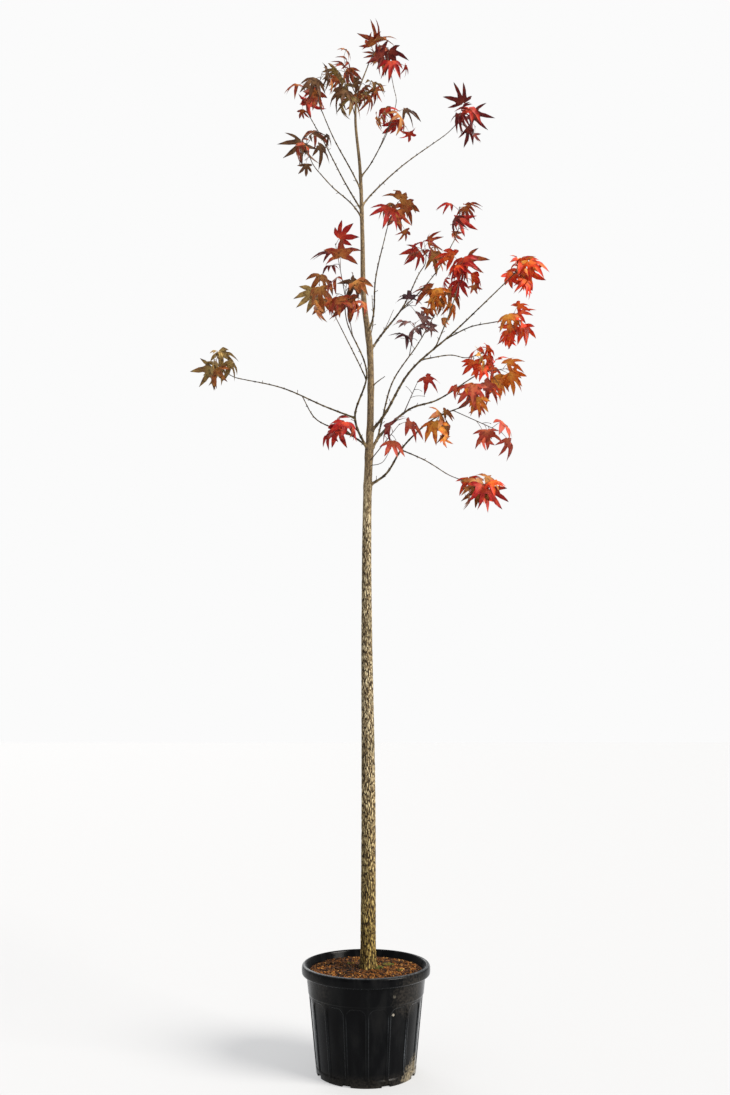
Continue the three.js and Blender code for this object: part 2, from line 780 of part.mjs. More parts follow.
// ---------------------------------------------------------------------------------------------
// The whole tree

function addPiece(group, name, solid, material) {
  const mesh = new THREE.Mesh(toGeometry(solid), material);
  mesh.name = name;
  group.add(mesh);
}

function makeSweetgum() {
  const group = new THREE.Group();
  addPiece(group, 'pot', potSolid(), blackPlastic());
  addPiece(group, 'soil', soilSolid(), compost());

  const limbs = makeLimbs();
  addPiece(group, 'trunk', limbSolid('trunk', limbs.trunk), trunkBark());
  for (const [name, limb] of Object.entries(limbs)) {
    if (name === 'trunk') continue;
    const parentGrown = limbSolid(limb.on, limbs[limb.on], GAP);
    addPiece(group, name, largestBody(limbSolid(name, limb).subtract(parentGrown)), boughBark());
  }

  const masses = makeMasses(limbs);
  const balls = allBalls(limbs, masses);
  for (const mass of masses) {
    const parentGrown = limbSolid(mass.on, limbs[mass.on], GAP);
    addPiece(group, mass.name, massSolid(mass, masses, balls, parentGrown), autumnLeaf());
  }
  return group;
}

export default makeSweetgum();
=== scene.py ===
# A young sweetgum in autumn leaf, standing in a round black nursery pot.
# The tree's own sizes are in millimetres, as in its solids. Meshes are made in metres.

import math

import bpy
import numpy as np
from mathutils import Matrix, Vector, noise
from mathutils.bvhtree import BVHTree


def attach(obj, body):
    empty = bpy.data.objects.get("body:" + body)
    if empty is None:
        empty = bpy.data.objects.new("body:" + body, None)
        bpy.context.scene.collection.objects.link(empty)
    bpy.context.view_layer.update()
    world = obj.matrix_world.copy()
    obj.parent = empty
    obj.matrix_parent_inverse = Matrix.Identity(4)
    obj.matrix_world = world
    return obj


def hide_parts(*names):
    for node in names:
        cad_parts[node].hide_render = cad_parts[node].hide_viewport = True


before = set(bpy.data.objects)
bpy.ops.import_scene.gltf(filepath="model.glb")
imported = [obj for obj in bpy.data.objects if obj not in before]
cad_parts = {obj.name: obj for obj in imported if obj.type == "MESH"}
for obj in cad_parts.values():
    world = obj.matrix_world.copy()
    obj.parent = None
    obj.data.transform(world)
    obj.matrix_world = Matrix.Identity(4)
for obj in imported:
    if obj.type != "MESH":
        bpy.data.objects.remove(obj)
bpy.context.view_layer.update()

MM = 0.001
UP = np.array([0.0, 0.0, 1.0])
GOLDEN_ANGLE = math.radians(137.5)

# ---------------------------------------------------------------------------------------------
# The tree's tables, the same as its solids have

TRUNK_LINE = [
    (8, 0, 369), (10, 2, 1000), (3, 5, 1750), (6, 8, 2250), (20, 9, 2640), (18, 6, 2940),
    (-9, 0, 3180), (-16, -4, 3500), (-27, -3, 3836), (-49, 0, 4100), (-42, 3, 4228), (10, 4, 4396),
]

TRUNK_GIRTH = [
    (369, 76), (395, 66), (450, 60), (1100, 55.5), (1900, 41), (2440, 35), (2600, 30),
    (3000, 27), (3300, 22), (3560, 18), (4100, 12), (4300, 7), (4396, 5),
]

# Each bough: the limb it leaves, where, its thickness at the foot and the tip, its bends and its tip.
BOUGHS = {
    "bough_low_right": ("trunk", 2312, (11, 5),
                        [(86, -30, 2357), (163, -80, 2468), (285, -128, 2570)], (402, -166, 2610)),
    "bough_low_right_fork": ("bough_low_right", 0.41, (6, 4), [(257, -10, 2424)], (350, 55, 2386)),
    "bough_middle_right": ("trunk", 2450, (14, 5),
                           [(58, 30, 2544), (198, 80, 2692), (323, 110, 2746)], (490, 145, 2868)),
    "bough_inner_right": ("bough_middle_right", 0.14, (8.5, 4.5),
                          [(72, 60, 2633), (124, 120, 2841), (243, 170, 3045)], (322, 190, 3195)),
    "bough_wide_right": ("trunk", 2555, (13, 4.5),
                         [(79, -30, 2622), (192, -70, 2809), (385, -110, 2977)], (608, -132, 3194)),
    "bough_wide_right_back": ("bough_wide_right", 0.44, (6, 4), [(376, -25, 2905)], (432, 15, 2911)),
    "bough_wide_right_upper": ("bough_wide_right", 0.53, (6, 4), [(369, -60, 3083)], (402, -28, 3190)),
    "bough_wide_right_front": ("bough_wide_right", 0.6, (6, 4), [(450, -160, 2976)], (545, -208, 2975)),
    "bough_tall_right": ("trunk", 2935, (11, 4.5),
                         [(62, 52, 3024), (175, 180, 3236), (258, 290, 3462)], (288, 335, 3530)),
    "bough_tall_right_fork": ("bough_tall_right", 0.49, (6, 4),
                              [(259, 182, 3318), (350, 200, 3447)], (430, 216, 3606)),
    "bough_front": ("trunk", 3020, (9, 4), [(33, -60, 3077), (42, -190, 3187)], (84, -318, 3326)),
    "bough_high_right": ("trunk", 3645, (8, 4), [(24, 20, 3720), (173, 100, 3924)], (380, 164, 4130)),
    "bough_high_front": ("trunk", 3795, (6.5, 4.5), [(19, -35, 3838)], (74, -98, 3906)),
    "bough_high_front_shoot": ("bough_high_front", 0.86, (3.6, 3),
                               [(128, -105, 4060), (140, -108, 4120)], (128, -110, 4190)),
    "bough_arched_left": ("trunk", 2462, (12, 5), [(-47, -90, 2589), (3, -180, 2757)], (-72, -255, 2930)),
    "bough_arched_left_fork": ("bough_arched_left", 0.6, (6, 4), [(-36, -125, 2835)], (-108, -45, 3020)),
    "bough_long_left": ("bough_arched_left", 0.3, (8, 4),
                        [(-178, -52, 2655), (-375, 38, 2776)], (-583, 108, 2850)),
    "bough_back_left": ("trunk", 2486, (9, 4), [(-71, 80, 2572), (-228, 160, 2673)], (-296, 186, 2795)),
    "bough_upper_left": ("trunk", 3590, (7, 4), [(-65, -40, 3636), (-150, -122, 3668)], (-214, -178, 3712)),
    "bough_tall_left": ("trunk", 3622, (8, 4), [(-104, 100, 3845), (-206, 190, 4117)], (-284, 238, 4300)),
    "bough_steep_left": ("trunk", 3730, (7.5, 4), [(-64, -20, 3812), (-147, -70, 3948)], (-205, -98, 4078)),
    "bare_spur_low": ("trunk", 2765, (6, 3), [(50, -10, 2785)], (84, -20, 2807)),
    "bare_spur_upper": ("trunk", 2990, (6, 2.5), [(32, 26, 3080)], (28, 34, 3221)),
}

# Each mass: the limb its stem leaves and where, its leaves, the smaller leaves on its finer twigs,
# their droop, the seed of its rule, the middle and the reach of its space, and its leaves' tints.
MASSES = {
    "leaves_top": ("trunk", "tip", 6, 4, 0.45, 1, (62, 0, 4482), 146, "brick crimson rust"),
    "leaves_leader_left": ("trunk", 4225, 4, 4, 0.5, 6, (-110, 95, 4435), 155, "rust bronze brick"),
    "leaves_leader_front": ("trunk", 4110, 4, 3, 0.8, 5, (-84, -110, 4150), 118, "umber brick bronze"),
    "leaves_leader_right": ("trunk", 4180, 5, 4, 0.8, 4, (22, 108, 4348), 130, "rust bronze brick"),
    "leaves_high_shoot": ("bough_high_front_shoot", "tip", 3, 1, 0.9, 5, (100, -140, 4300), 118,
                          "crimson wine crimson"),
    "leaves_high_front": ("bough_high_front", "tip", 5, 2, 0.9, 6, (125, -135, 3995), 145,
                          "rust crimson umber"),
    "leaves_high_right": ("bough_high_right", "tip", 6, 2, 0.8, 4, (500, 180, 4249), 172,
                          "wine crimson wine"),
    "leaves_steep_left": ("bough_steep_left", "tip", 6, 3, 0.9, 3, (-205, -100, 4224), 138,
                          "umber brick rust"),
    "leaves_tall_left": ("bough_tall_left", "tip", 4, 2, 0.9, 3, (-300, 250, 4427), 132,
                         "brick rust crimson"),
    "leaves_upper_left": ("bough_upper_left", "tip", 6, 3, 0.8, 4, (-265, -195, 3840), 155,
                          "rust umber brick"),
    "leaves_front": ("bough_front", "tip", 5, 1, 0.85, 3, (132, -360, 3400), 140, "crimson rust brick"),
    "leaves_tall_right": ("bough_tall_right", "tip", 6, 2, 0.5, 4, (297, 380, 3638), 160,
                          "brick rust crimson"),
    "leaves_tall_right_fork": ("bough_tall_right_fork", "tip", 5, 2, 0.8, 3, (459, 220, 3742), 140,
                               "crimson wine brick"),
    # The dark plum and wine tints here are partly painted shade, for leaves that hang nearly black in the
    # crown's shade.
    "leaves_tall_right_low": ("bough_tall_right", 0.47, 2, 0, 0.5, 1, (213, 85, 3190), 118,
                              "plum wine plum"),
    "leaves_inner_right": ("bough_inner_right", "tip", 6, 2, 0.9, 4, (345, 205, 3277), 140,
                           "rust orange brick"),
    "leaves_inner_shade": ("bough_inner_right", 0.66, 5, 2, 0.4, 4, (222, 25, 3060), 130,
                           "mauve plum mauve"),
    "leaves_wide_right": ("bough_wide_right", "tip", 7, 3, 0.85, 1, (690, -130, 3245), 158,
                          "scarlet crimson orange"),
    "leaves_wide_right_upper": ("bough_wide_right_upper", "tip", 7, 3, 0.85, 4, (433, -20, 3318), 160,
                                "crimson scarlet brick"),
    "leaves_wide_right_front": ("bough_wide_right_front", "tip", 5, 3, 0.8, 3, (637, -230, 2938), 140,
                                "scarlet scarlet orange"),
    "leaves_wide_right_back": ("bough_wide_right_back", "tip", 4, 3, 0.6, 6, (518, 40, 2914), 125,
                               "scarlet orange amber"),
    "leaves_middle_right": ("bough_middle_right", "tip", 6, 4, 0.5, 4, (650, 165, 2897), 148,
                            "orange scarlet orange"),
    "leaves_middle_spur": ("bough_middle_right", 0.42, 1, 0, 0.8, 3, (228, -5, 2750), 125,
                           "crimson crimson crimson"),
    "leaves_low_right": ("bough_low_right", "tip", 4, 3, 0.9, 4, (449, -180, 2654), 122,
                         "rose orange scarlet"),
    "leaves_low_right_end": ("bough_low_right", 0.93, 3, 1, 0.85, 2, (558, -200, 2452), 125,
                             "rose rust scarlet"),
    "leaves_low_right_inner": ("bough_low_right", 0.72, 3, 2, 0.85, 4, (310, -150, 2515), 118,
                               "rust orange rust"),
    "leaves_low_right_fork": ("bough_low_right_fork", "tip", 7, 2, 0.9, 4, (515, 80, 2300), 180,
                              "scarlet crimson rust"),
    "leaves_trunk_front": ("trunk", 2420, 3, 1, 0.85, 5, (137, -200, 2482), 118, "rose wine rose"),
    "leaves_arched_left": ("bough_arched_left", "tip", 6, 2, 0.9, 2, (-81, -300, 3062), 135,
                           "brick rust umber"),
    "leaves_arched_left_top": ("bough_arched_left", 0.93, 4, 2, 0.4, 4, (-128, -295, 3266), 145,
                               "wine crimson brick"),
    "leaves_arched_left_fork": ("bough_arched_left_fork", "tip", 6, 2, 0.9, 4, (-208, -40, 3190), 140,
                                "rust ochre bronze"),
    "leaves_long_left": ("bough_long_left", "tip", 6, 1, 0.85, 4, (-689, 120, 2890), 155,
                         "ochre rust bronze"),
    "leaves_back_left": ("bough_back_left", 0.25, 4, 1, 0.9, 2, (-112, 20, 2556), 125,
                         "crimson brick wine"),
}

# A leaf: its length, the ways and shares of its fingers and notches, its curl, its stalk, and the
# stalk's last run behind the blade.
LEAF_LENGTH = 96
FINGERS = [(-104, 0.68), (-50, 0.94), (0, 1.0), (50, 0.94), (104, 0.68)]
NOTCHES = [-77, -25, 25, 77]
NOTCH_SHARE = 0.29
LEAF_CURL = 0.4
STALK = 52
NECK = 9
NECK_BEHIND = 0.35

# A mass's stem: how far it ends above the mass's middle, its thickness, and its first run. And how a
# bough thins towards its tip.
STEM_LIFT = 45
STEM_RADIUS = 2.6
STEM_TIP_RADIUS = 1.8
STEM_LEAD = 0.4
SIDE_STEM_SHARE = 0.7
BOUGH_TAPER = 0.8

# How a leaf stands on its stem. A pair is the least value and what a draw adds to it at most.
LEAFY_SHARE = 0.7
LEAF_SLIP = (0.7, 0.3)
LEAF_ROUND = 1.4
LEAF_SPREAD, BACK_SPREAD = (28, 38), 26
STALK_SHARE = (0.6, 0.6)
HANG_SHARE = (0.4, 0.6)
LEAF_ROLL = 1.8
SIZE_SHARE = (0.82, 0.3)
BEND = (0.4, 1.2)
# A way that no stem keeps to, from which the ways square to a stem are worked out.
ASIDE_HINT = (0.3, 1, 0.2)
# The parts of a finger's reach and of a stalk whose distances from other things are measured.
FINGER_PARTS, STALK_PARTS = (1, 0.55), (0.3, 0.65, 1)

# The same for finer twigs: how many there are and with how many leaves, where on the stem one leaves,
# how far it goes along the stem, aside and down, its length as a share of the mass's reach, its first
# run, its sag and its radius, and its leaves' sizes.
TWIGS_PER_MASS = 3
LEAVES_PER_TWIG = 3
TWIG_FOOT = (0.35, 0.5)
TWIG_ALONG, TWIG_ASIDE, TWIG_DOWN = 0.7, 0.8, 0.1
TWIG_LENGTH = (0.28, 0.26)
TWIG_LEAD = 0.5
TWIG_SAG = 0.35
TWIG_RADIUS, TWIG_TAPER = 1.35, 0.45
FINER_SIZE, FINER_SIZE_STEP = 0.62, 0.07

# The clearances by which the rule chooses each leaf's place.
GAP = 0.3
LIMB_CLEARANCE = 10
STALK_CLEARANCE = 3
LEAF_CLEARANCE = 14
FINER_CLEARANCE = 10
LIMB_SAMPLES = 40
SAMPLE_MARGIN = 0.3
SPACE_MARGIN = 1.15
TRIES = 30

# Each mass's seed gives one seed for its leaves and one for its finer twigs' leaves.
LEAF_SEED, FINER_SEED = 1009, 5003


# ---------------------------------------------------------------------------------------------
# Lines and limbs

LINE_SAMPLES = 201
WAY_STEP = 1e-4
SHARE_CLOSE = 1e-5


def unit(vector):
    return vector / np.linalg.norm(vector)


def turned(vector, axis, angle):
    """The vector turned about a unit axis."""
    c, s = math.cos(angle), math.sin(angle)
    return vector * c + np.cross(axis, vector) * s + axis * (axis @ vector) * (1 - c)


def sideways(along, hint):
    """A unit vector square to a way."""
    return unit(np.cross(hint, along))


def seeded(seed):
    """Numbers between 0 and 1, the same ones for the same seed."""
    prime = 2147483647
    state = (seed * 69621 + 12345) % prime
    while True:
        state = (state * 16807) % prime
        yield state / prime


def drawn(draws, span):
    """A number from a span, given as its least value and what a draw adds to it at most."""
    least, added = span
    return least + added * next(draws)


def swung(draws, width):
    """A number drawn up to half the width to either side of 0."""
    return (next(draws) - 0.5) * width


def through(points):
    """A smooth curve through the points, as a function of t from 0 to 1."""
    points = [np.array(point, float) for point in points]
    last = len(points) - 1

    def place(t):
        whole = last * t
        i = math.floor(whole)
        w = whole - i
        if w == 0 and i == last:
            i, w = last - 1, 1.0
        p1, p2 = points[i], points[i + 1]
        p0 = points[i - 1] if i > 0 else 2 * points[0] - points[1]
        p3 = points[i + 2] if i + 2 <= last else 2 * points[last] - points[last - 1]
        d0, d1, d2 = (math.sqrt(np.linalg.norm(b - a)) for a, b in ((p0, p1), (p1, p2), (p2, p3)))
        t1 = ((p1 - p0) / d0 - (p2 - p0) / (d0 + d1) + (p2 - p1) / d1) * d1
        t2 = ((p2 - p1) / d1 - (p3 - p1) / (d1 + d2) + (p3 - p2) / d2) * d1
        return (p1 + t1 * w + (-3 * p1 + 3 * p2 - 2 * t1 - t2) * w ** 2
                + (2 * p1 - 2 * p2 + t1 + t2) * w ** 3)

    return place


def bending(foot, lead, end):
    """A curve from foot to end that sets out towards lead."""
    return lambda t: (1 - t) ** 2 * foot + 2 * (1 - t) * t * lead + t ** 2 * end


class Line:
    """A limb's or stem's middle line, walked by shares of its length."""

    def __init__(self, place):
        self.place = place
        self.ts = np.linspace(0, 1, LINE_SAMPLES)
        places = np.array([place(t) for t in self.ts])
        steps = np.linalg.norm(np.diff(places, axis=0), axis=1)
        self.walked = np.concatenate([[0], np.cumsum(steps)])
        self.length = self.walked[-1]

    def t_of(self, share):
        return float(np.interp(share * self.length, self.walked, self.ts))

    def at(self, share):
        return self.place(self.t_of(share))

    def way(self, share):
        t = self.t_of(share)
        return unit(self.place(min(t + WAY_STEP, 1)) - self.place(max(t - WAY_STEP, 0)))


class Limb:
    """A line with its radius at each share of its length."""

    def __init__(self, name, line, radius, on=None):
        self.name, self.line, self.radius, self.on = name, line, radius, on


def trunk_radius(height):
    levels, girths = zip(*TRUNK_GIRTH)
    return float(np.interp(height, levels, girths)) / 2


def share_at_height(trunk, height):
    low, high = 0.0, 1.0
    while high - low > SHARE_CLOSE:
        middle = (low + high) / 2
        if trunk.line.at(middle)[2] < height:
            low = middle
        else:
            high = middle
    return low


def foot_share(limbs, on, at):
    if at == "tip":
        return 1.0
    return share_at_height(limbs["trunk"], at) if on == "trunk" else at


def grow_limbs():
    trunk_line = Line(through(TRUNK_LINE))
    limbs = {"trunk": Limb("trunk", trunk_line, lambda share: trunk_radius(trunk_line.at(share)[2]))}
    for name, (on, at, (thick_foot, thick_tip), bends, tip) in BOUGHS.items():
        foot = limbs[on].line.at(foot_share(limbs, on, at))
        line = Line(through([foot, *bends, tip]))

        def radius(share, foot_radius=thick_foot / 2, tip_radius=thick_tip / 2):
            return foot_radius + (tip_radius - foot_radius) * share ** BOUGH_TAPER

        limbs[name] = Limb(name, line, radius, on)
    return limbs


class Mass:
    """A mass of leaves: its space, its stem and the rule's own numbers."""

    def __init__(self, name, limbs):
        (self.on, self.at, self.leaves, self.finer, self.hang, self.seed,
         middle, self.room, tints) = MASSES[name]
        self.name, self.middle, self.tints = name, np.array(middle, float), tints.split()
        parent = limbs[self.on]
        share = foot_share(limbs, self.on, self.at)
        foot, way = parent.line.at(share), parent.line.way(share)
        at_tip = self.at == "tip"
        if at_tip:
            foot = foot + way * GAP
        end = self.middle + UP * STEM_LIFT * self.hang
        reach = end - foot
        lead = way * np.linalg.norm(reach) * STEM_LEAD if at_tip else reach * STEM_LEAD
        thick = min(parent.radius(share) * (1 if at_tip else SIDE_STEM_SHARE), STEM_RADIUS)
        self.stem = Limb(name, Line(bending(foot, foot + lead, end)),
                         lambda along: thick + (STEM_TIP_RADIUS - thick) * along)


# ---------------------------------------------------------------------------------------------
# The rule that places the leaves

class Leaf:
    """Leaf i of a stem with so many leaves, at its try k: its node, its stalk's end and its blade."""

    def __init__(self, stem, leaves, hang, seed, i, k, scale=1.0):
        draws = seeded(seed + i * 37 + k * 7)
        next(draws)
        next(draws)
        back = i / leaves
        share = 1 - LEAFY_SHARE * back * drawn(draws, LEAF_SLIP)
        self.node = stem.line.at(share)
        along = stem.line.way(share)
        aside = turned(sideways(along, ASIDE_HINT), along, i * GOLDEN_ANGLE + next(draws) * LEAF_ROUND)
        spread = math.radians(drawn(draws, LEAF_SPREAD) + BACK_SPREAD * back)
        self.way = along * math.cos(spread) + aside * math.sin(spread)
        self.hub = self.node + self.way * STALK * scale * drawn(draws, STALK_SHARE)
        hang *= drawn(draws, HANG_SHARE)
        middle = unit(self.way + (-UP - self.way) * hang)
        side = turned(sideways(middle, UP), middle, swung(draws, LEAF_ROLL))
        self.turn = np.array([middle, side, np.cross(middle, side)])
        self.size = scale * drawn(draws, SIZE_SHARE)
        self.bend = drawn(draws, BEND)

    def on_blade(self, angle, share, aside=0.0, lift=0.0):
        """A place on the blade: the way from the hub, the share of its reach, and millimetres off that."""
        reach = share * LEAF_LENGTH * self.size
        drop = -LEAF_CURL * self.bend * reach * share
        c, s = math.cos(angle), math.sin(angle)
        local = np.array([c * reach - s * aside, s * reach + c * aside, drop + lift])
        return self.hub + local @ self.turn

    def points(self):
        found = [self.hub]
        for angle, share in FINGERS:
            for part in FINGER_PARTS:
                found.append(self.on_blade(math.radians(angle), share * part))
        return np.array(found)

    def neck(self):
        """Where the stalk reaches the blade: behind the hub."""
        back = unit(self.node - self.hub) @ self.turn.T
        local = np.array([min(back[0], -NECK_BEHIND), back[1] / 2, back[2]])
        return self.hub + unit(local) @ self.turn * NECK

    def stalk_points(self):
        return np.array([self.node + (self.neck() - self.node) * part for part in STALK_PARTS])


def distances(points, others):
    return np.linalg.norm(points[:, None, :] - others[None, :, :], axis=2)


def balls_along(limb):
    spacing = limb.line.length / LIMB_SAMPLES
    shares = [i / LIMB_SAMPLES for i in range(LIMB_SAMPLES + 1)]
    return [(limb.name, limb.line.at(share), limb.radius(share) + spacing * SAMPLE_MARGIN)
            for share in shares]


def finer_twig(mass, j):
    """Twig j of a mass: thin, off the side of its stem and bowed down by its leaves."""
    draws = seeded(mass.seed * 313 + round(mass.room) * 11 + j * 71 + 5)
    next(draws)
    share = drawn(draws, TWIG_FOOT)
    foot, along = mass.stem.line.at(share), mass.stem.line.way(share)
    aside = turned(sideways(along, (0.2, 0.3, 1)), along, j * GOLDEN_ANGLE + next(draws))
    way = unit(along * TWIG_ALONG + aside * TWIG_ASIDE - UP * TWIG_DOWN)
    length = mass.room * drawn(draws, TWIG_LENGTH)
    end = foot + unit(way - UP * TWIG_SAG) * length
    return Limb(mass.name, Line(bending(foot, foot + way * length * TWIG_LEAD, end)),
                lambda along: TWIG_RADIUS - TWIG_TAPER * along)


class Spaces:
    """The spaces of all masses, and the limbs and stems that run through them."""

    def __init__(self, limbs, masses):
        self.masses = masses
        self.middles = np.array([mass.middle for mass in masses])
        self.rooms = np.array([mass.room for mass in masses])
        balls = [ball for limb in limbs.values() for ball in balls_along(limb)]
        balls += [ball for mass in masses for ball in balls_along(mass.stem)]
        self.names = np.array([ball[0] for ball in balls])
        self.places = np.array([ball[1] for ball in balls])
        self.radii = np.array([ball[2] for ball in balls])

    def holds(self, points, mass):
        """Whether all points are in the mass's own space."""
        own = self.masses.index(mass)
        depths = distances(points, self.middles) / self.rooms
        mine = depths[:, own].copy()
        depths[:, own] = np.inf
        return bool((mine <= 1).all() and (depths > mine[:, None] * SPACE_MARGIN).all())

    def near(self, mass):
        reach = mass.room + self.radii + LIMB_CLEARANCE
        close = np.linalg.norm(self.places - mass.middle, axis=1) < reach
        close &= self.names != mass.name
        return self.places[close], self.radii[close]

    def choose(self, mass):
        """The mass's leaves and finer twigs: for each leaf, the first place that fits, or none."""
        near = self.near(mass)
        leaves, taken = [], np.zeros((0, 3))

        def settle(stem, count, seed, i, scale, clearance):
            places, radii = near
            for k in range(TRIES):
                leaf = Leaf(stem, count, mass.hang, seed, i, k, scale)
                points = leaf.points()
                if (self.holds(points, mass)
                        and (distances(points, places) > radii + LIMB_CLEARANCE).all()
                        and (distances(points, taken) > clearance).all()
                        and (distances(leaf.stalk_points(), places) > radii + STALK_CLEARANCE).all()):
                    leaves.append(leaf)
                    return np.vstack([taken, points])
            return taken

        for i in range(mass.leaves):
            taken = settle(mass.stem, mass.leaves, mass.seed * LEAF_SEED, i, 1.0, LEAF_CLEARANCE)
        twigs = [finer_twig(mass, j) for j in range(TWIGS_PER_MASS)]
        twigs = [twig for twig in twigs if self.holds(np.array([twig.line.at(0.6), twig.line.at(1)]), mass)]
        for i in range(mass.finer if twigs else 0):
            twig = twigs[i % len(twigs)]
            scale = FINER_SIZE + FINER_SIZE_STEP * (i % 4)
            taken = settle(twig, LEAVES_PER_TWIG, mass.seed * LEAF_SEED + FINER_SEED, i, scale,
                           FINER_CLEARANCE)
        return leaves, twigs


# ---------------------------------------------------------------------------------------------
# Making and finishing meshes

def activate(piece):
    bpy.ops.object.select_all(action="DESELECT")
    piece.select_set(True)
    bpy.context.view_layer.objects.active = piece


def begin(add, name, **settings):
    """A new primitive, with nothing else selected."""
    bpy.ops.object.select_all(action="DESELECT")
    add(**settings)
    piece = bpy.context.view_layer.objects.active
    piece.name = name
    return piece


def apply_modifier(piece, kind, **settings):
    modifier = piece.modifiers.new(kind.lower(), kind)
    for key, value in settings.items():
        setattr(modifier, key, value)
    activate(piece)
    bpy.ops.object.modifier_apply(modifier=modifier.name)


def mark(piece, trait, values):
    """Gives each vertex a value that the piece's material reads by its name."""
    piece.data.attributes.new(trait, "FLOAT", "POINT").data.foreach_set("value", values)


def mesh_piece(name, vertices, faces):
    """One mesh from arrays of places in millimetres and of faces."""
    mesh = bpy.data.meshes.new(name)
    mesh.from_pydata([tuple(place) for place in np.asarray(vertices) * MM], [], faces)
    mesh.update()
    piece = bpy.data.objects.new(name, mesh)
    bpy.context.scene.collection.objects.link(piece)
    return piece


class Gathered:
    """Vertices and faces of many small things, gathered for one mesh, with each vertex's traits."""

    def __init__(self):
        self.vertices, self.faces, self.traits = [], [], []

    def add(self, vertices, faces, traits=()):
        first = len(self.vertices)
        self.vertices.extend(vertices)
        self.faces.extend([[first + corner for corner in face] for face in faces])
        self.traits.extend(traits)

    def piece(self, name, *trait_names):
        made = mesh_piece(name, self.vertices, self.faces)
        for trait, values in zip(trait_names, zip(*self.traits)):
            mark(made, trait, values)
        return made


def tube_piece(name, lines, sides):
    """One mesh of tapering tubes. Each line is its places and its radii, in millimetres."""
    curve = bpy.data.curves.new(name, "CURVE")
    curve.dimensions = "3D"
    curve.bevel_depth = MM
    curve.bevel_resolution = (sides - 4) // 2
    curve.use_fill_caps = True
    for places, radii in lines:
        spline = curve.splines.new("POLY")
        spline.points.add(len(places) - 1)
        rows = np.hstack([np.asarray(places) * MM, np.ones((len(places), 1))])
        spline.points.foreach_set("co", rows.ravel())
        spline.points.foreach_set("radius", list(radii))
    piece = bpy.data.objects.new(name, curve)
    bpy.context.scene.collection.objects.link(piece)
    activate(piece)
    bpy.ops.object.convert(target="MESH")
    return bpy.context.view_layer.objects.active


def smooth(piece, angle=None):
    activate(piece)
    if angle is None:
        bpy.ops.object.shade_smooth()
    else:
        bpy.ops.object.shade_smooth_by_angle(angle=math.radians(angle))


def finish_piece(piece, material, replaced=()):
    piece.data.materials.clear()
    piece.data.materials.append(material)
    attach(piece, "root")
    if replaced:
        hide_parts(*replaced)


# ---------------------------------------------------------------------------------------------
# Materials

def colour(code):
    """A colour from its sRGB hex code, as Blender's linear values."""
    parts = [int(code[i:i + 2], 16) / 255 for i in (1, 3, 5)]
    return (*[p / 12.92 if p <= 0.04045 else ((p + 0.055) / 1.055) ** 2.4 for p in parts], 1.0)


def node(tree, kind, settings=None, **links):
    """Adds a node. settings are its own properties and its sockets' values, links what feeds its sockets."""
    made = tree.nodes.new("ShaderNode" + kind)
    for key, value in (settings or {}).items():
        if hasattr(made, key):
            setattr(made, key, value)
        else:
            made.inputs[int(key) if key.isdigit() else key].default_value = value
    for key, source in links.items():
        name = key.replace("_", " ")
        socket = made.inputs[int(name[1:])] if name[0] == "n" and name[1:].isdigit() else made.inputs[name]
        tree.links.new(source, socket)
    return made


def new_material(name, values):
    """A material with its shader and its output, and the mesh's own coordinates. values are the
    shader's own, the same all over the surface."""
    material = bpy.data.materials.new(name)
    material.use_nodes = True
    tree = material.node_tree
    tree.nodes.clear()
    shader = tree.nodes.new("ShaderNodeBsdfPrincipled")
    output = tree.nodes.new("ShaderNodeOutputMaterial")
    tree.links.new(shader.outputs[0], output.inputs["Surface"])
    place = tree.nodes.new("ShaderNodeTexCoord").outputs["Object"]
    for socket, value in values.items():
        shader.inputs[socket].default_value = value
    return material, tree, shader, place


def ramp(tree, source, *stops):
    """Turns a value into colours at the stated stops."""
    made = tree.nodes.new("ShaderNodeValToRGB")
    band = made.color_ramp
    while len(band.elements) < len(stops):
        band.elements.new(0.5)
    for element, (position, shade) in zip(band.elements, stops):
        element.position = position
        element.color = colour(shade) if isinstance(shade, str) else (shade, shade, shade, 1)
    tree.links.new(source, made.inputs["Fac"])
    return made.outputs["Color"]


def per_metre(size_mm):
    """The scale of a pattern whose cells have a size in millimetres."""
    return 1000.0 / size_mm


def stretched(tree, place, along):
    """Coordinates in which a pattern is drawn out along the height."""
    return node(tree, "Mapping", {"Scale": (1.0, 1.0, 1.0 / along)}, Vector=place).outputs[0]


# The Mix node's sockets for colours.
MIX_FACTOR, MIX_FIRST, MIX_SECOND, MIX_RESULT = 0, 6, 7, 2


def mixed(tree, first, second, factor, blend="MIX"):
    """Mixes two colours, each from a socket or a hex code."""
    made = node(tree, "Mix", {"data_type": "RGBA", "blend_type": blend, "clamp_result": True})
    for socket, source in ((MIX_FACTOR, factor), (MIX_FIRST, first), (MIX_SECOND, second)):
        if isinstance(source, bpy.types.NodeSocket):
            tree.links.new(source, made.inputs[socket])
        elif isinstance(source, str):
            made.inputs[socket].default_value = colour(source)
        else:
            made.inputs[socket].default_value = source
    return made.outputs[MIX_RESULT]


# Dried potting dust, thickest in a corner at the foot, and splashes where compost was spilt:
# where each is, how far it reaches, how thick it is, and its colour.
POT_DIRT = [
    ((0.182, -0.100, 0.0), 0.062, 0.75, "#857a64"),
    ((0.200, -0.072, 0.045), 0.044, 0.55, "#857a64"),
    ((0.196, -0.020, 0.0), 0.050, 0.35, "#857a64"),
    ((0.152, -0.122, 0.0), 0.034, 0.7, "#857a64"),
    ((0.165, -0.155, 0.315), 0.085, 0.13, "#6f675c"),
    ((-0.190, -0.120, 0.315), 0.085, 0.11, "#6f675c"),
    ((0.104, -0.204, 0.314), 0.007, 0.3, "#8b8578"),
    ((0.100, -0.189, 0.248), 0.0055, 0.8, "#c4bcac"),
]


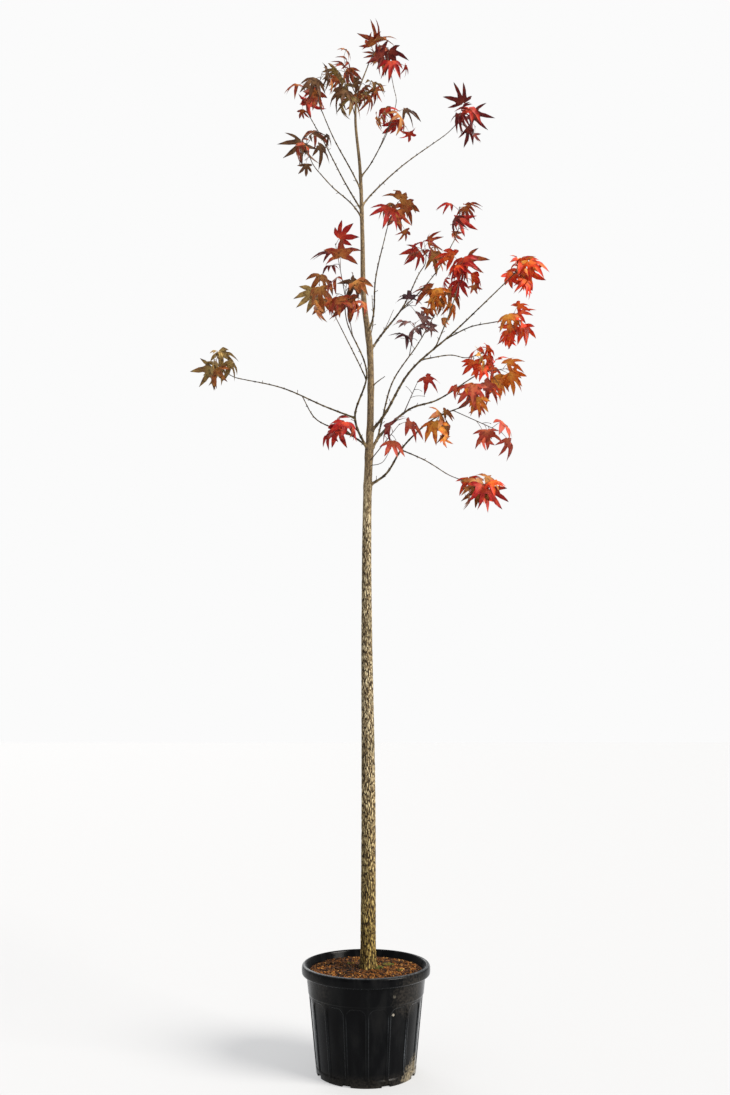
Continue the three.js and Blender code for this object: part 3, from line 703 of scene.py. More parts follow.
# How ragged a patch's edge is, and how far out it starts to thin, as shares of its reach.
DIRT_RAGGED, DIRT_EDGE = (-1.3, 0.55), 0.45


def dirtied(tree, place, shade, uneven, mottled):
    """The shade under its patches of dirt. uneven breaks up their edges and mottled their cover."""
    for middle, reach, thick, dust in POT_DIRT:
        far = node(tree, "VectorMath", {"operation": "DISTANCE", "1": middle}, n0=place).outputs["Value"]
        ragged = node(tree, "Math", {"operation": "MULTIPLY_ADD", "1": DIRT_RAGGED[0] * reach,
                                     "2": DIRT_RAGGED[1] * reach}, n0=uneven).outputs[0]
        edge = node(tree, "Math", {"operation": "ADD"}, n0=far, n1=ragged).outputs[0]
        cover = node(tree, "MapRange", {"From Min": reach * DIRT_EDGE, "From Max": reach, "To Min": thick,
                                        "To Max": 0.0}, Value=edge).outputs[0]
        blown = node(tree, "Math", {"operation": "MULTIPLY"}, n0=cover, n1=mottled).outputs[0]
        shade = mixed(tree, shade, dust, blown)
    return shade


def pot_plastic():
    """Injection-moulded black polypropylene: semi-gloss, dulled by dust, with a fine moulded skin and
    painted highlights along its edges.
    """
    material, tree, shader, place = new_material("moulded_black_polypropylene", {
        "IOR": 1.49, "Specular IOR Level": 0.08,
        "Sheen Weight": 0.25, "Sheen Roughness": 0.3, "Sheen Tint": colour("#dfe6ee")})
    cloud = node(tree, "TexNoise", {"Scale": per_metre(38), "Detail": 4.0},
                 Vector=stretched(tree, place, 3.5))
    skin = node(tree, "TexNoise", {"Scale": per_metre(2.5), "Detail": 2.0}, Vector=place)
    body = ramp(tree, cloud.outputs[0], (0.35, "#020203"), (0.62, "#07080a"))
    patch = node(tree, "TexNoise", {"Scale": per_metre(9), "Detail": 6.0, "Roughness": 0.7}, Vector=place)
    mottled = ramp(tree, patch.outputs[0], (0.42, 0.2), (0.58, 1.0))
    shade = dirtied(tree, place, body, patch.outputs[0], mottled)
    # A little of it was splashed up all round the foot.
    height = node(tree, "SeparateXYZ", Vector=place).outputs["Z"]
    low = node(tree, "MapRange", {"From Max": 0.045, "To Min": 0.14, "To Max": 0.0}, Value=height).outputs[0]
    splashed = node(tree, "Math", {"operation": "MULTIPLY"}, n0=low, n1=mottled).outputs[0]
    shade = mixed(tree, shade, "#6f675c", splashed)
    film = ramp(tree, cloud.outputs[0], (0.5, 0.0), (0.8, 0.05))
    dusty = mixed(tree, shade, "#5d5a54", film)
    # Pale grey painted highlights along the ribs' rounded edges and the lip, standing in for reflections
    # there.
    scuff = node(tree, "Attribute", {"attribute_name": "scuff"}).outputs["Fac"]
    highlight_mottle = ramp(tree, patch.outputs[0], (0.36, 0.12), (0.62, 0.6))
    highlit_edges = node(tree, "Math", {"operation": "MULTIPLY"}, n0=scuff, n1=highlight_mottle).outputs[0]
    tree.links.new(mixed(tree, dusty, "#70757a", highlit_edges), shader.inputs["Base Color"])
    gloss = ramp(tree, cloud.outputs[0], (0.35, 0.14), (0.65, 0.34))
    tree.links.new(gloss, shader.inputs["Roughness"])
    bump = node(tree, "Bump", {"Strength": 0.15, "Distance": 0.0004}, Height=skin.outputs[0])
    tree.links.new(bump.outputs[0], shader.inputs["Normal"])
    return material


def compost_material(name, dark, light, pale):
    """Damp peat and bark compost: matt, crumbly, from dark brown to rusty."""
    material, tree, shader, place = new_material(name, {"Roughness": 0.95, "Specular IOR Level": 0.2})
    crumb = node(tree, "TexNoise", {"Scale": per_metre(7), "Detail": 6.0, "Roughness": 0.7}, Vector=place)
    grit = node(tree, "TexVoronoi", {"Scale": per_metre(5)}, Vector=place)
    body = ramp(tree, crumb.outputs[0], (0.32, dark), (0.52, light), (0.72, pale))
    speck = ramp(tree, grit.outputs["Distance"], (0.15, 0.25), (0.5, 0.0))
    patch_noise = node(tree, "TexNoise", {"Scale": per_metre(38), "Detail": 2.0}, Vector=place)
    # Darker in a patch behind the trunk and to its left, and lighter towards the lip.
    far = node(tree, "VectorMath", {"operation": "DISTANCE", "1": (-0.045, 0.06, 0.365)},
               n0=place).outputs["Value"]
    toward_dark_patch = node(tree, "MapRange", {"From Min": 0.04, "From Max": 0.17, "To Min": 0.22, "To Max": -0.06},
               Value=far)
    dark_patch_share = node(tree, "Math", {"operation": "ADD"}, n0=patch_noise.outputs[0], n1=toward_dark_patch.outputs[0]).outputs[0]
    patch = ramp(tree, dark_patch_share, (0.45, 0.0), (0.62, 0.8))
    gritty = mixed(tree, body, "#1c110b", speck)
    tree.links.new(mixed(tree, gritty, dark, patch), shader.inputs["Base Color"])
    bump = node(tree, "Bump", {"Strength": 0.8, "Distance": 0.002}, Height=crumb.outputs[0])
    tree.links.new(bump.outputs[0], shader.inputs["Normal"])
    return material


# The thin bark of the upper trunk and of the boughs' feet.
THIN_BARK = [(0.34, "#42362a"), (0.50, "#6f5d46"), (0.66, "#9a8560")]


def trunk_bark():
    """Young sweetgum bark: tan corky plates with dark furrows, their own darker bark deepened by painted
    shade, smoother and grey-brown higher up.
    """
    material, tree, shader, place = new_material(
        "furrowed_young_bark", {"Roughness": 0.88, "Specular IOR Level": 0.2})
    furrow = node(tree, "Attribute", {"attribute_name": "furrow"}).outputs["Fac"]
    fleck = node(tree, "TexNoise", {"Scale": per_metre(6), "Detail": 5.0, "Roughness": 0.75},
                 Vector=stretched(tree, place, 3.0))
    cloud = node(tree, "TexNoise", {"Scale": per_metre(70), "Detail": 3.0},
                 Vector=stretched(tree, place, 2.0))
    plate = ramp(tree, fleck.outputs[0], (0.38, "#473926"), (0.49, "#917c5a"), (0.59, "#e6d7b0"))
    lichen = ramp(tree, cloud.outputs[0], (0.50, 0.0), (0.72, 0.45))
    # The furrows are darkened, partly for their own darker bark and partly as painted shade in them.
    depth = ramp(tree, furrow, (0.22, 0.0), (0.75, 1.0))
    rough = mixed(tree, mixed(tree, plate, "#6f6a4c", lichen), "#2b2015", depth)
    thin = ramp(tree, fleck.outputs[0], *THIN_BARK)
    height = node(tree, "SeparateXYZ", Vector=place).outputs["Z"]
    # Splashed and a little green with algae near the compost.
    foot = node(tree, "MapRange", {"From Min": 0.5, "From Max": 1.2, "To Min": 1.0, "To Max": 0.0},
                Value=height)
    rough = mixed(tree, rough, "#d2c690", foot.outputs[0], "MULTIPLY")
    upper = node(tree, "MapRange", {"From Min": 2.15, "From Max": 2.42}, Value=height)
    tree.links.new(mixed(tree, rough, thin, upper.outputs[0]), shader.inputs["Base Color"])
    bump = node(tree, "Bump", {"Strength": 0.7, "Distance": 0.0012}, Height=fleck.outputs[0])
    tree.links.new(bump.outputs[0], shader.inputs["Normal"])
    return material


def bough_bark():
    """Two-year-old sweetgum wood: dark brown and grainy, with pale corky dots."""
    material, tree, shader, place = new_material(
        "corky_bough_bark", {"Roughness": 0.82, "Specular IOR Level": 0.25})
    grain = node(tree, "TexNoise", {"Scale": per_metre(14), "Detail": 4.0, "Roughness": 0.6}, Vector=place)
    cork = node(tree, "TexVoronoi", {"Scale": per_metre(12)}, Vector=place)
    body = ramp(tree, grain.outputs[0], (0.38, "#231b12"), (0.52, "#453823"), (0.66, "#71603f"))
    dots = ramp(tree, cork.outputs["Distance"], (0.10, 0.6), (0.30, 0.0))
    young = mixed(tree, body, "#9a875f", dots)
    aged = ramp(tree, grain.outputs[0], *THIN_BARK)
    old_wood = node(tree, "Attribute", {"attribute_name": "old_wood"}).outputs["Fac"]
    tree.links.new(mixed(tree, young, aged, old_wood), shader.inputs["Base Color"])
    bump = node(tree, "Bump", {"Strength": 0.6, "Distance": 0.0008}, Height=grain.outputs[0])
    tree.links.new(bump.outputs[0], shader.inputs["Normal"])
    return material


def shoot_skin(name, dark, light, roughness):
    """The thin smooth skin of this year's shoots, stalks and buds: waxy, with faint mottling."""
    material, tree, shader, place = new_material(name, {"Roughness": roughness})
    mottle = node(tree, "TexNoise", {"Scale": per_metre(12), "Detail": 3.0}, Vector=place)
    body = ramp(tree, mottle.outputs[0], (0.35, dark), (0.65, light))
    tree.links.new(body, shader.inputs["Base Color"])
    return material


def leaf_skin(tint, blade, heart, tip):
    """A sweetgum leaf in autumn: thin and faintly glossy, its heart still paler, its tips dried dark."""
    material, tree, shader, place = new_material("autumn_leaf_" + tint, {"Specular IOR Level": 0.15})
    reach = node(tree, "Attribute", {"attribute_name": "reach"}).outputs["Fac"]
    rib = node(tree, "Attribute", {"attribute_name": "rib"}).outputs["Fac"]
    body = ramp(tree, reach, (0.05, heart), (0.42, blade), (0.76, blade), (1.0, tip))
    blotch = node(tree, "TexNoise", {"Scale": per_metre(24), "Detail": 3.0}, Vector=place)
    patch = ramp(tree, blotch.outputs[0], (0.50, 0.0), (0.64, 0.75))
    scorch = node(tree, "TexNoise", {"Scale": per_metre(17), "Detail": 4.0, "Distortion": 0.4}, Vector=place)
    burnt = ramp(tree, scorch.outputs[0], (0.52, 0.0), (0.64, 0.7))
    mottled = mixed(tree, mixed(tree, body, heart, patch), tip, burnt)
    line = ramp(tree, rib, (0.80, 0.0), (0.97, 0.45))
    tree.links.new(mixed(tree, mottled, heart, line), shader.inputs["Base Color"])
    gloss = ramp(tree, blotch.outputs[0], (0.35, 0.42), (0.65, 0.62))
    tree.links.new(gloss, shader.inputs["Roughness"])
    return material


# ---------------------------------------------------------------------------------------------
# The pot

POT_HEIGHT = 385
POT_FOOT_RADIUS = 190
BAND_FOOT, BAND_FOOT_RADIUS = 283, 222
NECK_HEIGHT, NECK_RADIUS = 345, 230
LIP_RADIUS = 250
POT_WALL = 4
POT_FLOOR = 6
PANELS = 16
PANEL_COLUMNS = 10
RIB_COLUMNS = 1
PANEL_FOOT, PANEL_HEAD = 22, 272
PANEL_ROWS = [PANEL_FOOT, 90, 160, 225, PANEL_HEAD]
PANEL_DEPTH = 5
PANEL_BORDER, SUNK_SHARE = 3.5, 0.8
ARCH_FALL, ARCH_FROM = 26, 0.35
FOOT_RING, FOOT_STEP, FOOT_HOLLOW = 22, 2, 3
EDGE_ROUNDING, EDGE_SEGMENTS, EDGE_ANGLE = 2.4, 3, 28
DRAINS = 8
DRAIN_SIZE = (28, 34, 22)
# Places are told apart to this many millimetres.
CLOSE = 0.01


def wall_radius(height):
    levels = (0, BAND_FOOT, NECK_HEIGHT)
    return float(np.interp(height, levels, (POT_FOOT_RADIUS, BAND_FOOT_RADIUS, NECK_RADIUS)))


def inner_radius(height):
    return wall_radius(height) - POT_WALL - PANEL_DEPTH


def pick(piece, kind, test):
    """Selects the vertices or faces whose place, in millimetres, passes the test."""
    mesh = piece.data
    bpy.ops.object.mode_set(mode="OBJECT")
    for parts in (mesh.vertices, mesh.edges, mesh.polygons):
        parts.foreach_set("select", [False] * len(parts))
    if kind == "FACE":
        for face in mesh.polygons:
            face.select = test(face.center / MM)
    else:
        for vertex in mesh.vertices:
            vertex.select = test(vertex.co / MM)
    bpy.ops.object.mode_set(mode="EDIT")
    bpy.ops.mesh.select_mode(type=kind)


def pot_rings():
    """The radius and height of each ring: up the outside, over the lip and down the inside."""
    wall = [(wall_radius(height), height) for height in [*PANEL_ROWS, BAND_FOOT - 4]]
    ledge = [(BAND_FOOT_RADIUS + 1.8, BAND_FOOT - 2), (BAND_FOOT_RADIUS + 2.2, BAND_FOOT + 2)]
    band = [(NECK_RADIUS + 1.6, NECK_HEIGHT - 1), (NECK_RADIUS + 3, NECK_HEIGHT + 2)]
    lip = [(LIP_RADIUS - 5, NECK_HEIGHT + 3), (LIP_RADIUS - 1, NECK_HEIGHT + 7),
           (LIP_RADIUS, NECK_HEIGHT + 14), (LIP_RADIUS, POT_HEIGHT - 12),
           (LIP_RADIUS - 2, POT_HEIGHT - 5), (LIP_RADIUS - 6, POT_HEIGHT - 1),
           (LIP_RADIUS - 12, POT_HEIGHT), (LIP_RADIUS - 16, POT_HEIGHT - 3),
           (LIP_RADIUS - 18, POT_HEIGHT - 9)]
    neck = inner_radius(NECK_HEIGHT)
    inside = [(neck + 4, NECK_HEIGHT + 6), (neck, NECK_HEIGHT - 6), (inner_radius(POT_FLOOR), POT_FLOOR)]
    return wall + ledge + band + lip + inside


def draw_up(rings, last):
    """Extrudes the selected ring from one radius and height to the next, one after another."""
    for radius, height in rings:
        bpy.ops.mesh.extrude_edges_move(
            TRANSFORM_OT_translate={"value": (0, 0, (height - last[1]) * MM)})
        share = radius / last[0]
        bpy.ops.transform.resize(value=(share, share, 1), center_override=(0, 0, height * MM))
        last = (radius, height)


def panel_column(place):
    """Which of its panel's columns a place is in, counted from the rib."""
    turn = math.degrees(math.atan2(place.y, place.x)) % 360
    return (turn / 360 * PANELS * PANEL_COLUMNS) % PANEL_COLUMNS


def panel_head(place):
    """How high the panel's round arch is at a place: its corners come down beside the ribs."""
    column = (panel_column(place) - 0.5) % PANEL_COLUMNS
    aside = abs(column - PANEL_COLUMNS / 2) / (PANEL_COLUMNS / 2)
    return PANEL_HEAD - ARCH_FALL * max(0.0, aside - ARCH_FROM) ** 2 / (1 - ARCH_FROM) ** 2


def nursery_pot():
    """A thin wall with sunk panels under a plain band, a rolled lip, and drain notches at the foot."""
    pot = begin(bpy.ops.mesh.primitive_circle_add, "nursery_pot", vertices=PANELS * PANEL_COLUMNS,
                radius=POT_FOOT_RADIUS * MM)
    bpy.ops.object.mode_set(mode="EDIT")
    bpy.ops.mesh.select_mode(type="EDGE")
    bpy.ops.mesh.select_all(action="SELECT")
    bpy.ops.transform.rotate(value=math.pi / 2, orient_axis="Z", center_override=(0, 0, 0))
    draw_up(pot_rings(), (POT_FOOT_RADIUS, 0))
    bpy.ops.mesh.edge_face_add()
    pick(pot, "VERT", lambda place: place.z < CLOSE)
    bpy.ops.mesh.edge_face_add()
    bpy.ops.mesh.inset(thickness=FOOT_RING * MM, depth=0)
    bpy.ops.mesh.inset(thickness=FOOT_STEP * MM, depth=-FOOT_HOLLOW * MM)
    bpy.ops.object.mode_set(mode="OBJECT")

    # The ring at the panels' heads comes down beside each rib, into arches.
    for vertex in pot.data.vertices:
        place = vertex.co / MM
        if abs(place.z - PANEL_HEAD) > CLOSE or place.xy.length < wall_radius(PANEL_HEAD) - 0.5:
            continue
        height = panel_head(place)
        share = wall_radius(height) / place.xy.length
        vertex.co = (place.x * share * MM, place.y * share * MM, height * MM)

    def in_panel(place):
        return (PANEL_FOOT < place.z < panel_head(place) - 1 and place.xy.length > wall_radius(place.z) - 2
                and panel_column(place) > RIB_COLUMNS)

    activate(pot)
    bpy.ops.object.mode_set(mode="EDIT")
    bpy.ops.mesh.select_mode(type="FACE")
    pick(pot, "FACE", in_panel)
    bpy.ops.mesh.inset(thickness=PANEL_BORDER * MM, depth=-PANEL_DEPTH * SUNK_SHARE * MM,
                       use_even_offset=True)
    bpy.ops.mesh.select_all(action="SELECT")
    bpy.ops.mesh.normals_make_consistent(inside=False)
    bpy.ops.object.mode_set(mode="OBJECT")

    apply_modifier(pot, "BEVEL", width=EDGE_ROUNDING * MM, segments=EDGE_SEGMENTS,
                   limit_method="ANGLE", angle_limit=math.radians(EDGE_ANGLE))
    cut_drains(pot)
    mark_edge_highlights(pot)
    smooth(pot, 40)
    return pot


# How strong the painted edge highlights are: the least, the usual, how far they swing, and on the lip.
LEAST_EDGE_HIGHLIGHT, USUAL_EDGE_HIGHLIGHT, EDGE_HIGHLIGHT_SWING, LIP_HIGHLIGHT = 0.1, 0.45, 1.5, 0.6
# How far the painted edge highlights go on round the pot and up it, in millimetres.
HIGHLIGHT_ROUND, HIGHLIGHT_UP = 55, 160


def mark_edge_highlights(pot):
    """Marks the ribs' rounded edges and the lip's for painted highlights, some stronger than others."""
    edge_highlights = []
    for vertex in pot.data.vertices:
        place = vertex.co / MM
        deep = wall_radius(place.z) - place.xy.length
        on_rib = PANEL_FOOT + 8 < place.z < PANEL_HEAD - ARCH_FALL and 0.1 < deep < EDGE_ROUNDING
        on_lip = place.z > POT_HEIGHT - 3 and place.xy.length > LIP_RADIUS - 9
        where = Vector((place.x / HIGHLIGHT_ROUND, place.y / HIGHLIGHT_ROUND, place.z / HIGHLIGHT_UP + 3))
        share = USUAL_EDGE_HIGHLIGHT + EDGE_HIGHLIGHT_SWING * noise.noise(where)
        edge_highlights.append(max(LEAST_EDGE_HIGHLIGHT, min(1.0, share)) if on_rib else LIP_HIGHLIGHT if on_lip else 0.0)
    mark(pot, "scuff", edge_highlights)


def cut_drains(pot):
    """Notches through the foot of the wall."""
    slots = []
    for i in range(DRAINS):
        turn = (i + 0.5) * 2 * math.pi / DRAINS
        place = (math.cos(turn) * POT_FOOT_RADIUS * MM, math.sin(turn) * POT_FOOT_RADIUS * MM, 0)
        slots.append(begin(bpy.ops.mesh.primitive_cube_add, "drain", size=1, location=place,
                           rotation=(0, 0, turn), scale=[size * MM for size in DRAIN_SIZE]))
    for slot in slots:
        slot.select_set(True)
    bpy.context.view_layer.objects.active = slots[0]
    bpy.ops.object.join()
    slots = bpy.context.view_layer.objects.active
    apply_modifier(pot, "BOOLEAN", operation="DIFFERENCE", object=slots, solver="EXACT")
    bpy.data.objects.remove(slots)


# ---------------------------------------------------------------------------------------------
# The compost

SOIL_TOP = 365
SOIL_HUMP, HUMP_RADIUS, FLAT_FROM = 4, 45, 120
SOIL_RADIUS = inner_radius(NECK_HEIGHT) - 1.0
BED_SIDES, BED_RINGS, BED_RING = 120, 27, 7.5
BED_SKIRT, BED_DRAFT = 60, 0.97
# The bed lies a little lower than its solid's top, and rises and falls in wide waves and small ones:
# for each, how wide it is, how high, and where in the pattern it starts.
BED_SUNK = 1.5
BED_WAVES = [(45, 2.2, 0), (11, 2.0, 7)]


def bed_height(x, y):
    """The compost's surface: a low hump round the trunk, uneven by a few millimetres."""
    far = math.hypot(x, y)
    hump = SOIL_TOP + SOIL_HUMP - 1
    level = float(np.interp(far, (0, HUMP_RADIUS, FLAT_FROM, SOIL_RADIUS),
                            (hump, hump, SOIL_TOP, SOIL_TOP - SOIL_HUMP)))
    rough = sum(noise.noise(Vector((x / wide, y / wide, start))) * high for wide, high, start in BED_WAVES)
    return level - BED_SUNK + rough


def compost_bed():
    """The compost that fills the pot, with its uneven top."""
    bed = begin(bpy.ops.mesh.primitive_circle_add, "compost_bed", vertices=BED_SIDES,
                radius=SOIL_RADIUS * MM, fill_type="NGON", location=(0, 0, SOIL_TOP * MM))
    bpy.ops.object.transform_apply(location=True, rotation=True, scale=True)
    bpy.ops.object.mode_set(mode="EDIT")
    bpy.ops.mesh.select_mode(type="FACE")
    bpy.ops.mesh.select_all(action="SELECT")
    for _ in range(BED_RINGS):
        bpy.ops.mesh.inset(thickness=BED_RING * MM, depth=0)
    bpy.ops.mesh.poke()
    pick(bed, "VERT", lambda place: place.xy.length > SOIL_RADIUS - 0.5)
    bpy.ops.mesh.extrude_edges_move(TRANSFORM_OT_translate={"value": (0, 0, -BED_SKIRT * MM)})
    bpy.ops.transform.resize(value=(BED_DRAFT, BED_DRAFT, 1),
                             center_override=(0, 0, (SOIL_TOP - BED_SKIRT) * MM))
    bpy.ops.mesh.edge_face_add()
    bpy.ops.mesh.select_all(action="SELECT")
    bpy.ops.mesh.normals_make_consistent(inside=False)
    bpy.ops.object.mode_set(mode="OBJECT")
    for vertex in bed.data.vertices:
        place = vertex.co / MM
        if place.z > SOIL_TOP - 1:
            vertex.co.z = bed_height(place.x, place.y) * MM
    smooth(bed, 60)
    return bed


CHIP_FACES = [(0, 2, 3, 1), (4, 5, 7, 6), (0, 1, 5, 4), (2, 6, 7, 3), (0, 4, 6, 2), (1, 3, 7, 5)]
CHIP_UNEVEN = (0.7, 0.5)
CHIP_WIDTH = (0.3, 0.4)
CHIP_THICKNESS, CHIP_THICKNESS_SHARE = 1.5, 0.15
# How far crumbs keep from the pot's wall, and how high their middles lie over the bed.
CHIP_EDGE, CHIP_RAISED = 8, 0.25


def chip(gathered, place, size, turn, draws):
    """One crumb of bark or peat: a small uneven block, lying as it fell."""
    corners = []
    for way in [(x, y, z) for z in (-1, 1) for y in (-1, 1) for x in (-1, 1)]:
        uneven = [drawn(draws, CHIP_UNEVEN) for _ in range(3)]
        corners.append(np.array([w * s * u for w, s, u in zip(way, size, uneven)]) / 2)
    gathered.add([place + corner @ turn for corner in corners], CHIP_FACES)


def scatter_crumbs(seed, count, smallest, largest):
    """Crumbs strewn over the compost, more of them small than large."""
    gathered, draws = Gathered(), seeded(seed)
    for _ in range(count):
        far = (SOIL_RADIUS - CHIP_EDGE) * math.sqrt(next(draws))
        angle = 2 * math.pi * next(draws)
        x, y = far * math.cos(angle), far * math.sin(angle)
        length = smallest + (largest - smallest) * next(draws) ** 3
        heading = 2 * math.pi * next(draws)
        tilt, roll = swung(draws, 1), swung(draws, 1)
        along = unit(np.array([math.cos(heading), math.sin(heading), tilt]))
        across = sideways(along, [math.sin(roll), 0, math.cos(roll)])
        thickness = CHIP_THICKNESS + length * CHIP_THICKNESS_SHARE
        place = np.array([x, y, bed_height(x, y) + thickness * CHIP_RAISED])
        size = (length, length * drawn(draws, CHIP_WIDTH), thickness)
        chip(gathered, place, size, np.array([along, across, np.cross(along, across)]), draws)
    return gathered


MOSS_HEIGHT = (3, 4)
MOSS_RADIUS = 0.9
MOSS_SUNK = 0.5


def moss_tufts(seed, patches):
    """Low moss: short leaning blades, thick in patches."""
    gathered, draws = Gathered(), seeded(seed)
    for px, py, reach, count in patches:
        for _ in range(count):
            far, angle = reach * math.sqrt(next(draws)), 2 * math.pi * next(draws)
            x, y = px + far * math.cos(angle), py + far * math.sin(angle)
            foot = np.array([x, y, bed_height(x, y) - MOSS_SUNK])
            lean = np.array([swung(draws, 1), swung(draws, 1), 1.0])
            tip = foot + unit(lean) * drawn(draws, MOSS_HEIGHT)
            heading = 2 * math.pi * next(draws)
            ring = [foot + MOSS_RADIUS * np.array([math.cos(heading + a), math.sin(heading + a), 0])
                    for a in (0, 2.1, 4.2)]
            gathered.add([*ring, tip], [(0, 1, 3), (1, 2, 3), (2, 0, 3), (0, 2, 1)])
    return gathered


# ---------------------------------------------------------------------------------------------
# Trunk and boughs

TRUNK_SIDES = 68
ROUGH_RING, ROUGH_TOP = 3.3, 2450
SMOOTH_RING = 6.0
COLLAR_REACH, COLLAR_SWELL, MOST_SWELL = 22, 0.10, 1.3
FOOT_DOWN = 9
FLARE_TOP, FLARE_HOLLOW, FLARE_RIDGE = 470, 0.17, 0.15
# The root ridges: how many stand round the foot, how high they are, and how far they are turned.
ROOT_RIDGES = [(4, 0.5, 0.9), (3, 0.25, -0.6)]
# The bark's cells: how many stand round the trunk, how tall they are, and the part of a cell that
# slopes down to the furrow beside it.
RIDGES, RIDGE_HEIGHT, RIDGE_SLOPE = 26, 38, 0.44
FLAKES, FLAKE_HEIGHT, FLAKE_SLOPE = 40, 24, 0.42
# How far ridges, flakes and knobs lift the bark and how far it is sunk first, in millimetres.
RIDGE_LIFT, FLAKE_LIFT, KNOB_LIFT, BARK_SUNK = 1.3, 0.4, 0.4, 1.2
BOUGH_SIDES = 10
BOUGH_RING = 5.0
BUD_SPACING, BUD_SHIFT = 38, 11
BUD_KNOT, BUD_KNOT_REACH = 0.28, 4.5
# How a bough or a fork swells at its foot, and how far from its parent's bark.
BOUGH_FLARE, FORK_FLARE = (0.85, 11), (0.5, 9)
BOUGH_BUMP_SIZE, BOUGH_BUMP = 6.5, 0.55
OLD_WOOD_REACH = 45


def along_line(limb, spacing, start=0.0, end=1.0):
    """Shares of a limb's length, evenly spaced by about the stated millimetres."""
    count = max(3, round(limb.line.length * (end - start) / spacing))
    return np.linspace(start, end, count + 1)


def trunk_piece(limbs):
    trunk = limbs["trunk"]
    change = share_at_height(trunk, ROUGH_TOP)
    shares = [*along_line(trunk, ROUGH_RING, 0, change), *along_line(trunk, SMOOTH_RING, change, 1)[1:]]
    places = [trunk.line.at(share) for share in shares]
    # The girth swells a little where boughs leave.
    collars = [foot_share(limbs, "trunk", spec[1]) * trunk.line.length
               for spec in BOUGHS.values() if spec[0] == "trunk"]
    radii = []
    for share in shares:
        walked = share * trunk.line.length
        swell = sum(math.exp(-((walked - collar) / COLLAR_REACH) ** 2) for collar in collars)
        radii.append(trunk.radius(share) * (1 + COLLAR_SWELL * min(swell, MOST_SWELL)))
    # The foot goes on down into the compost.
    places.insert(0, places[0] - UP * FOOT_DOWN)
    radii.insert(0, radii[0])
    piece = tube_piece("trunk_relief", [(places, radii)], TRUNK_SIDES)
    shape_root_flare(piece)
    carve_furrows(piece, trunk)
    smooth(piece)
    return piece


def shape_root_flare(piece):
    """Draws the flare at the foot into root ridges with hollows between them."""
    x0, y0, foot = TRUNK_LINE[0]
    for vertex in piece.data.vertices:
        place = vertex.co / MM
        near = min(1.0, max(0.0, (FLARE_TOP - place.z) / (FLARE_TOP - foot)))
        turn = math.atan2(place.y - y0, place.x - x0)
        ridge = 0.5
        for count, high, turned_by in ROOT_RIDGES:
            ridge += high * math.cos(count * turn + turned_by)
        share = 1 - near ** 1.5 * (FLARE_HOLLOW - FLARE_RIDGE * ridge)
        vertex.co.x = (x0 + (place.x - x0) * share) * MM
        vertex.co.y = (y0 + (place.y - y0) * share) * MM
    piece.data.update()


# Large uneven numbers that mix a cell's column and row into values from 0 to 1.
MIX_ASIDE, MIX_ABOVE = 43758.5453, 28001.8384
MIX_SLIP, MIX_COLUMN, MIX_ROW = 91.7, 127.1, 311.7
# Where a cell's middle may lie in its place: the least share, and what the mixing adds at most.
CELL_ASIDE, CELL_ABOVE = (0.15, 0.7), (0.1, 0.8)
OWN_COLUMN_GAP = 2.0
FAR_OFF = 9.0


def border_gaps(across, up, around, seed):
    """How far places are from the borders of tall uneven cells that close round the trunk, in cells."""
    fars, columns = [], []
    for side in (-1, 0, 1):
        column = np.floor(across) + side
        slip = (np.sin((column % around) * MIX_SLIP + seed) * MIX_ASIDE) % 1
        for level in (-1, 0, 1):
            row = np.floor(up + slip) + level
            mixing = np.sin((column % around) * MIX_COLUMN + row * MIX_ROW + seed)
            aside = column + CELL_ASIDE[0] + CELL_ASIDE[1] * ((mixing * MIX_ASIDE) % 1)
            above = row - slip + CELL_ABOVE[0] + CELL_ABOVE[1] * ((mixing * MIX_ABOVE) % 1)
            fars.append(np.hypot(aside - across, above - up))
            columns.append(column)
    fars, columns = np.array(fars), np.array(columns)
    first = fars.argmin(axis=0)[None]
    home = np.take_along_axis(columns, first, 0)
    # Cells that stand end to end in one column meet in a narrow gap.
    gaps = (fars - fars.min(axis=0)) * np.where(columns == home, OWN_COLUMN_GAP, 1.0)
    np.put_along_axis(gaps, first, FAR_OFF, 0)
    return gaps.min(axis=0)


AXIS_SAMPLES = 200
# Where the trunk is as thick as this, its relief is as high as the lifts say.
FULL_RELIEF_GIRTH = 54
# How strong the relief is at each height.
RELIEF = [(369, 1.0), (2050, 0.9), (2400, 0.2), (4400, 0.1)]
# The patterns that warp the cells' borders and raise small knobs: how wide and how tall they are.
WARP_WIDE, WARP_TALL = 20, 55
KNOB_WIDE, KNOB_TALL, KNOB_START = 5, 12, 40
RIDGE_WARP, FLAKE_FURROW = 0.6, 0.55


def axis_at(trunk, levels):
    """Where the trunk's middle line is at the stated heights."""
    xs, ys, zs = np.array([trunk.line.at(share) for share in np.linspace(0, 1, AXIS_SAMPLES)]).T
    return np.interp(levels, zs, xs), np.interp(levels, zs, ys)


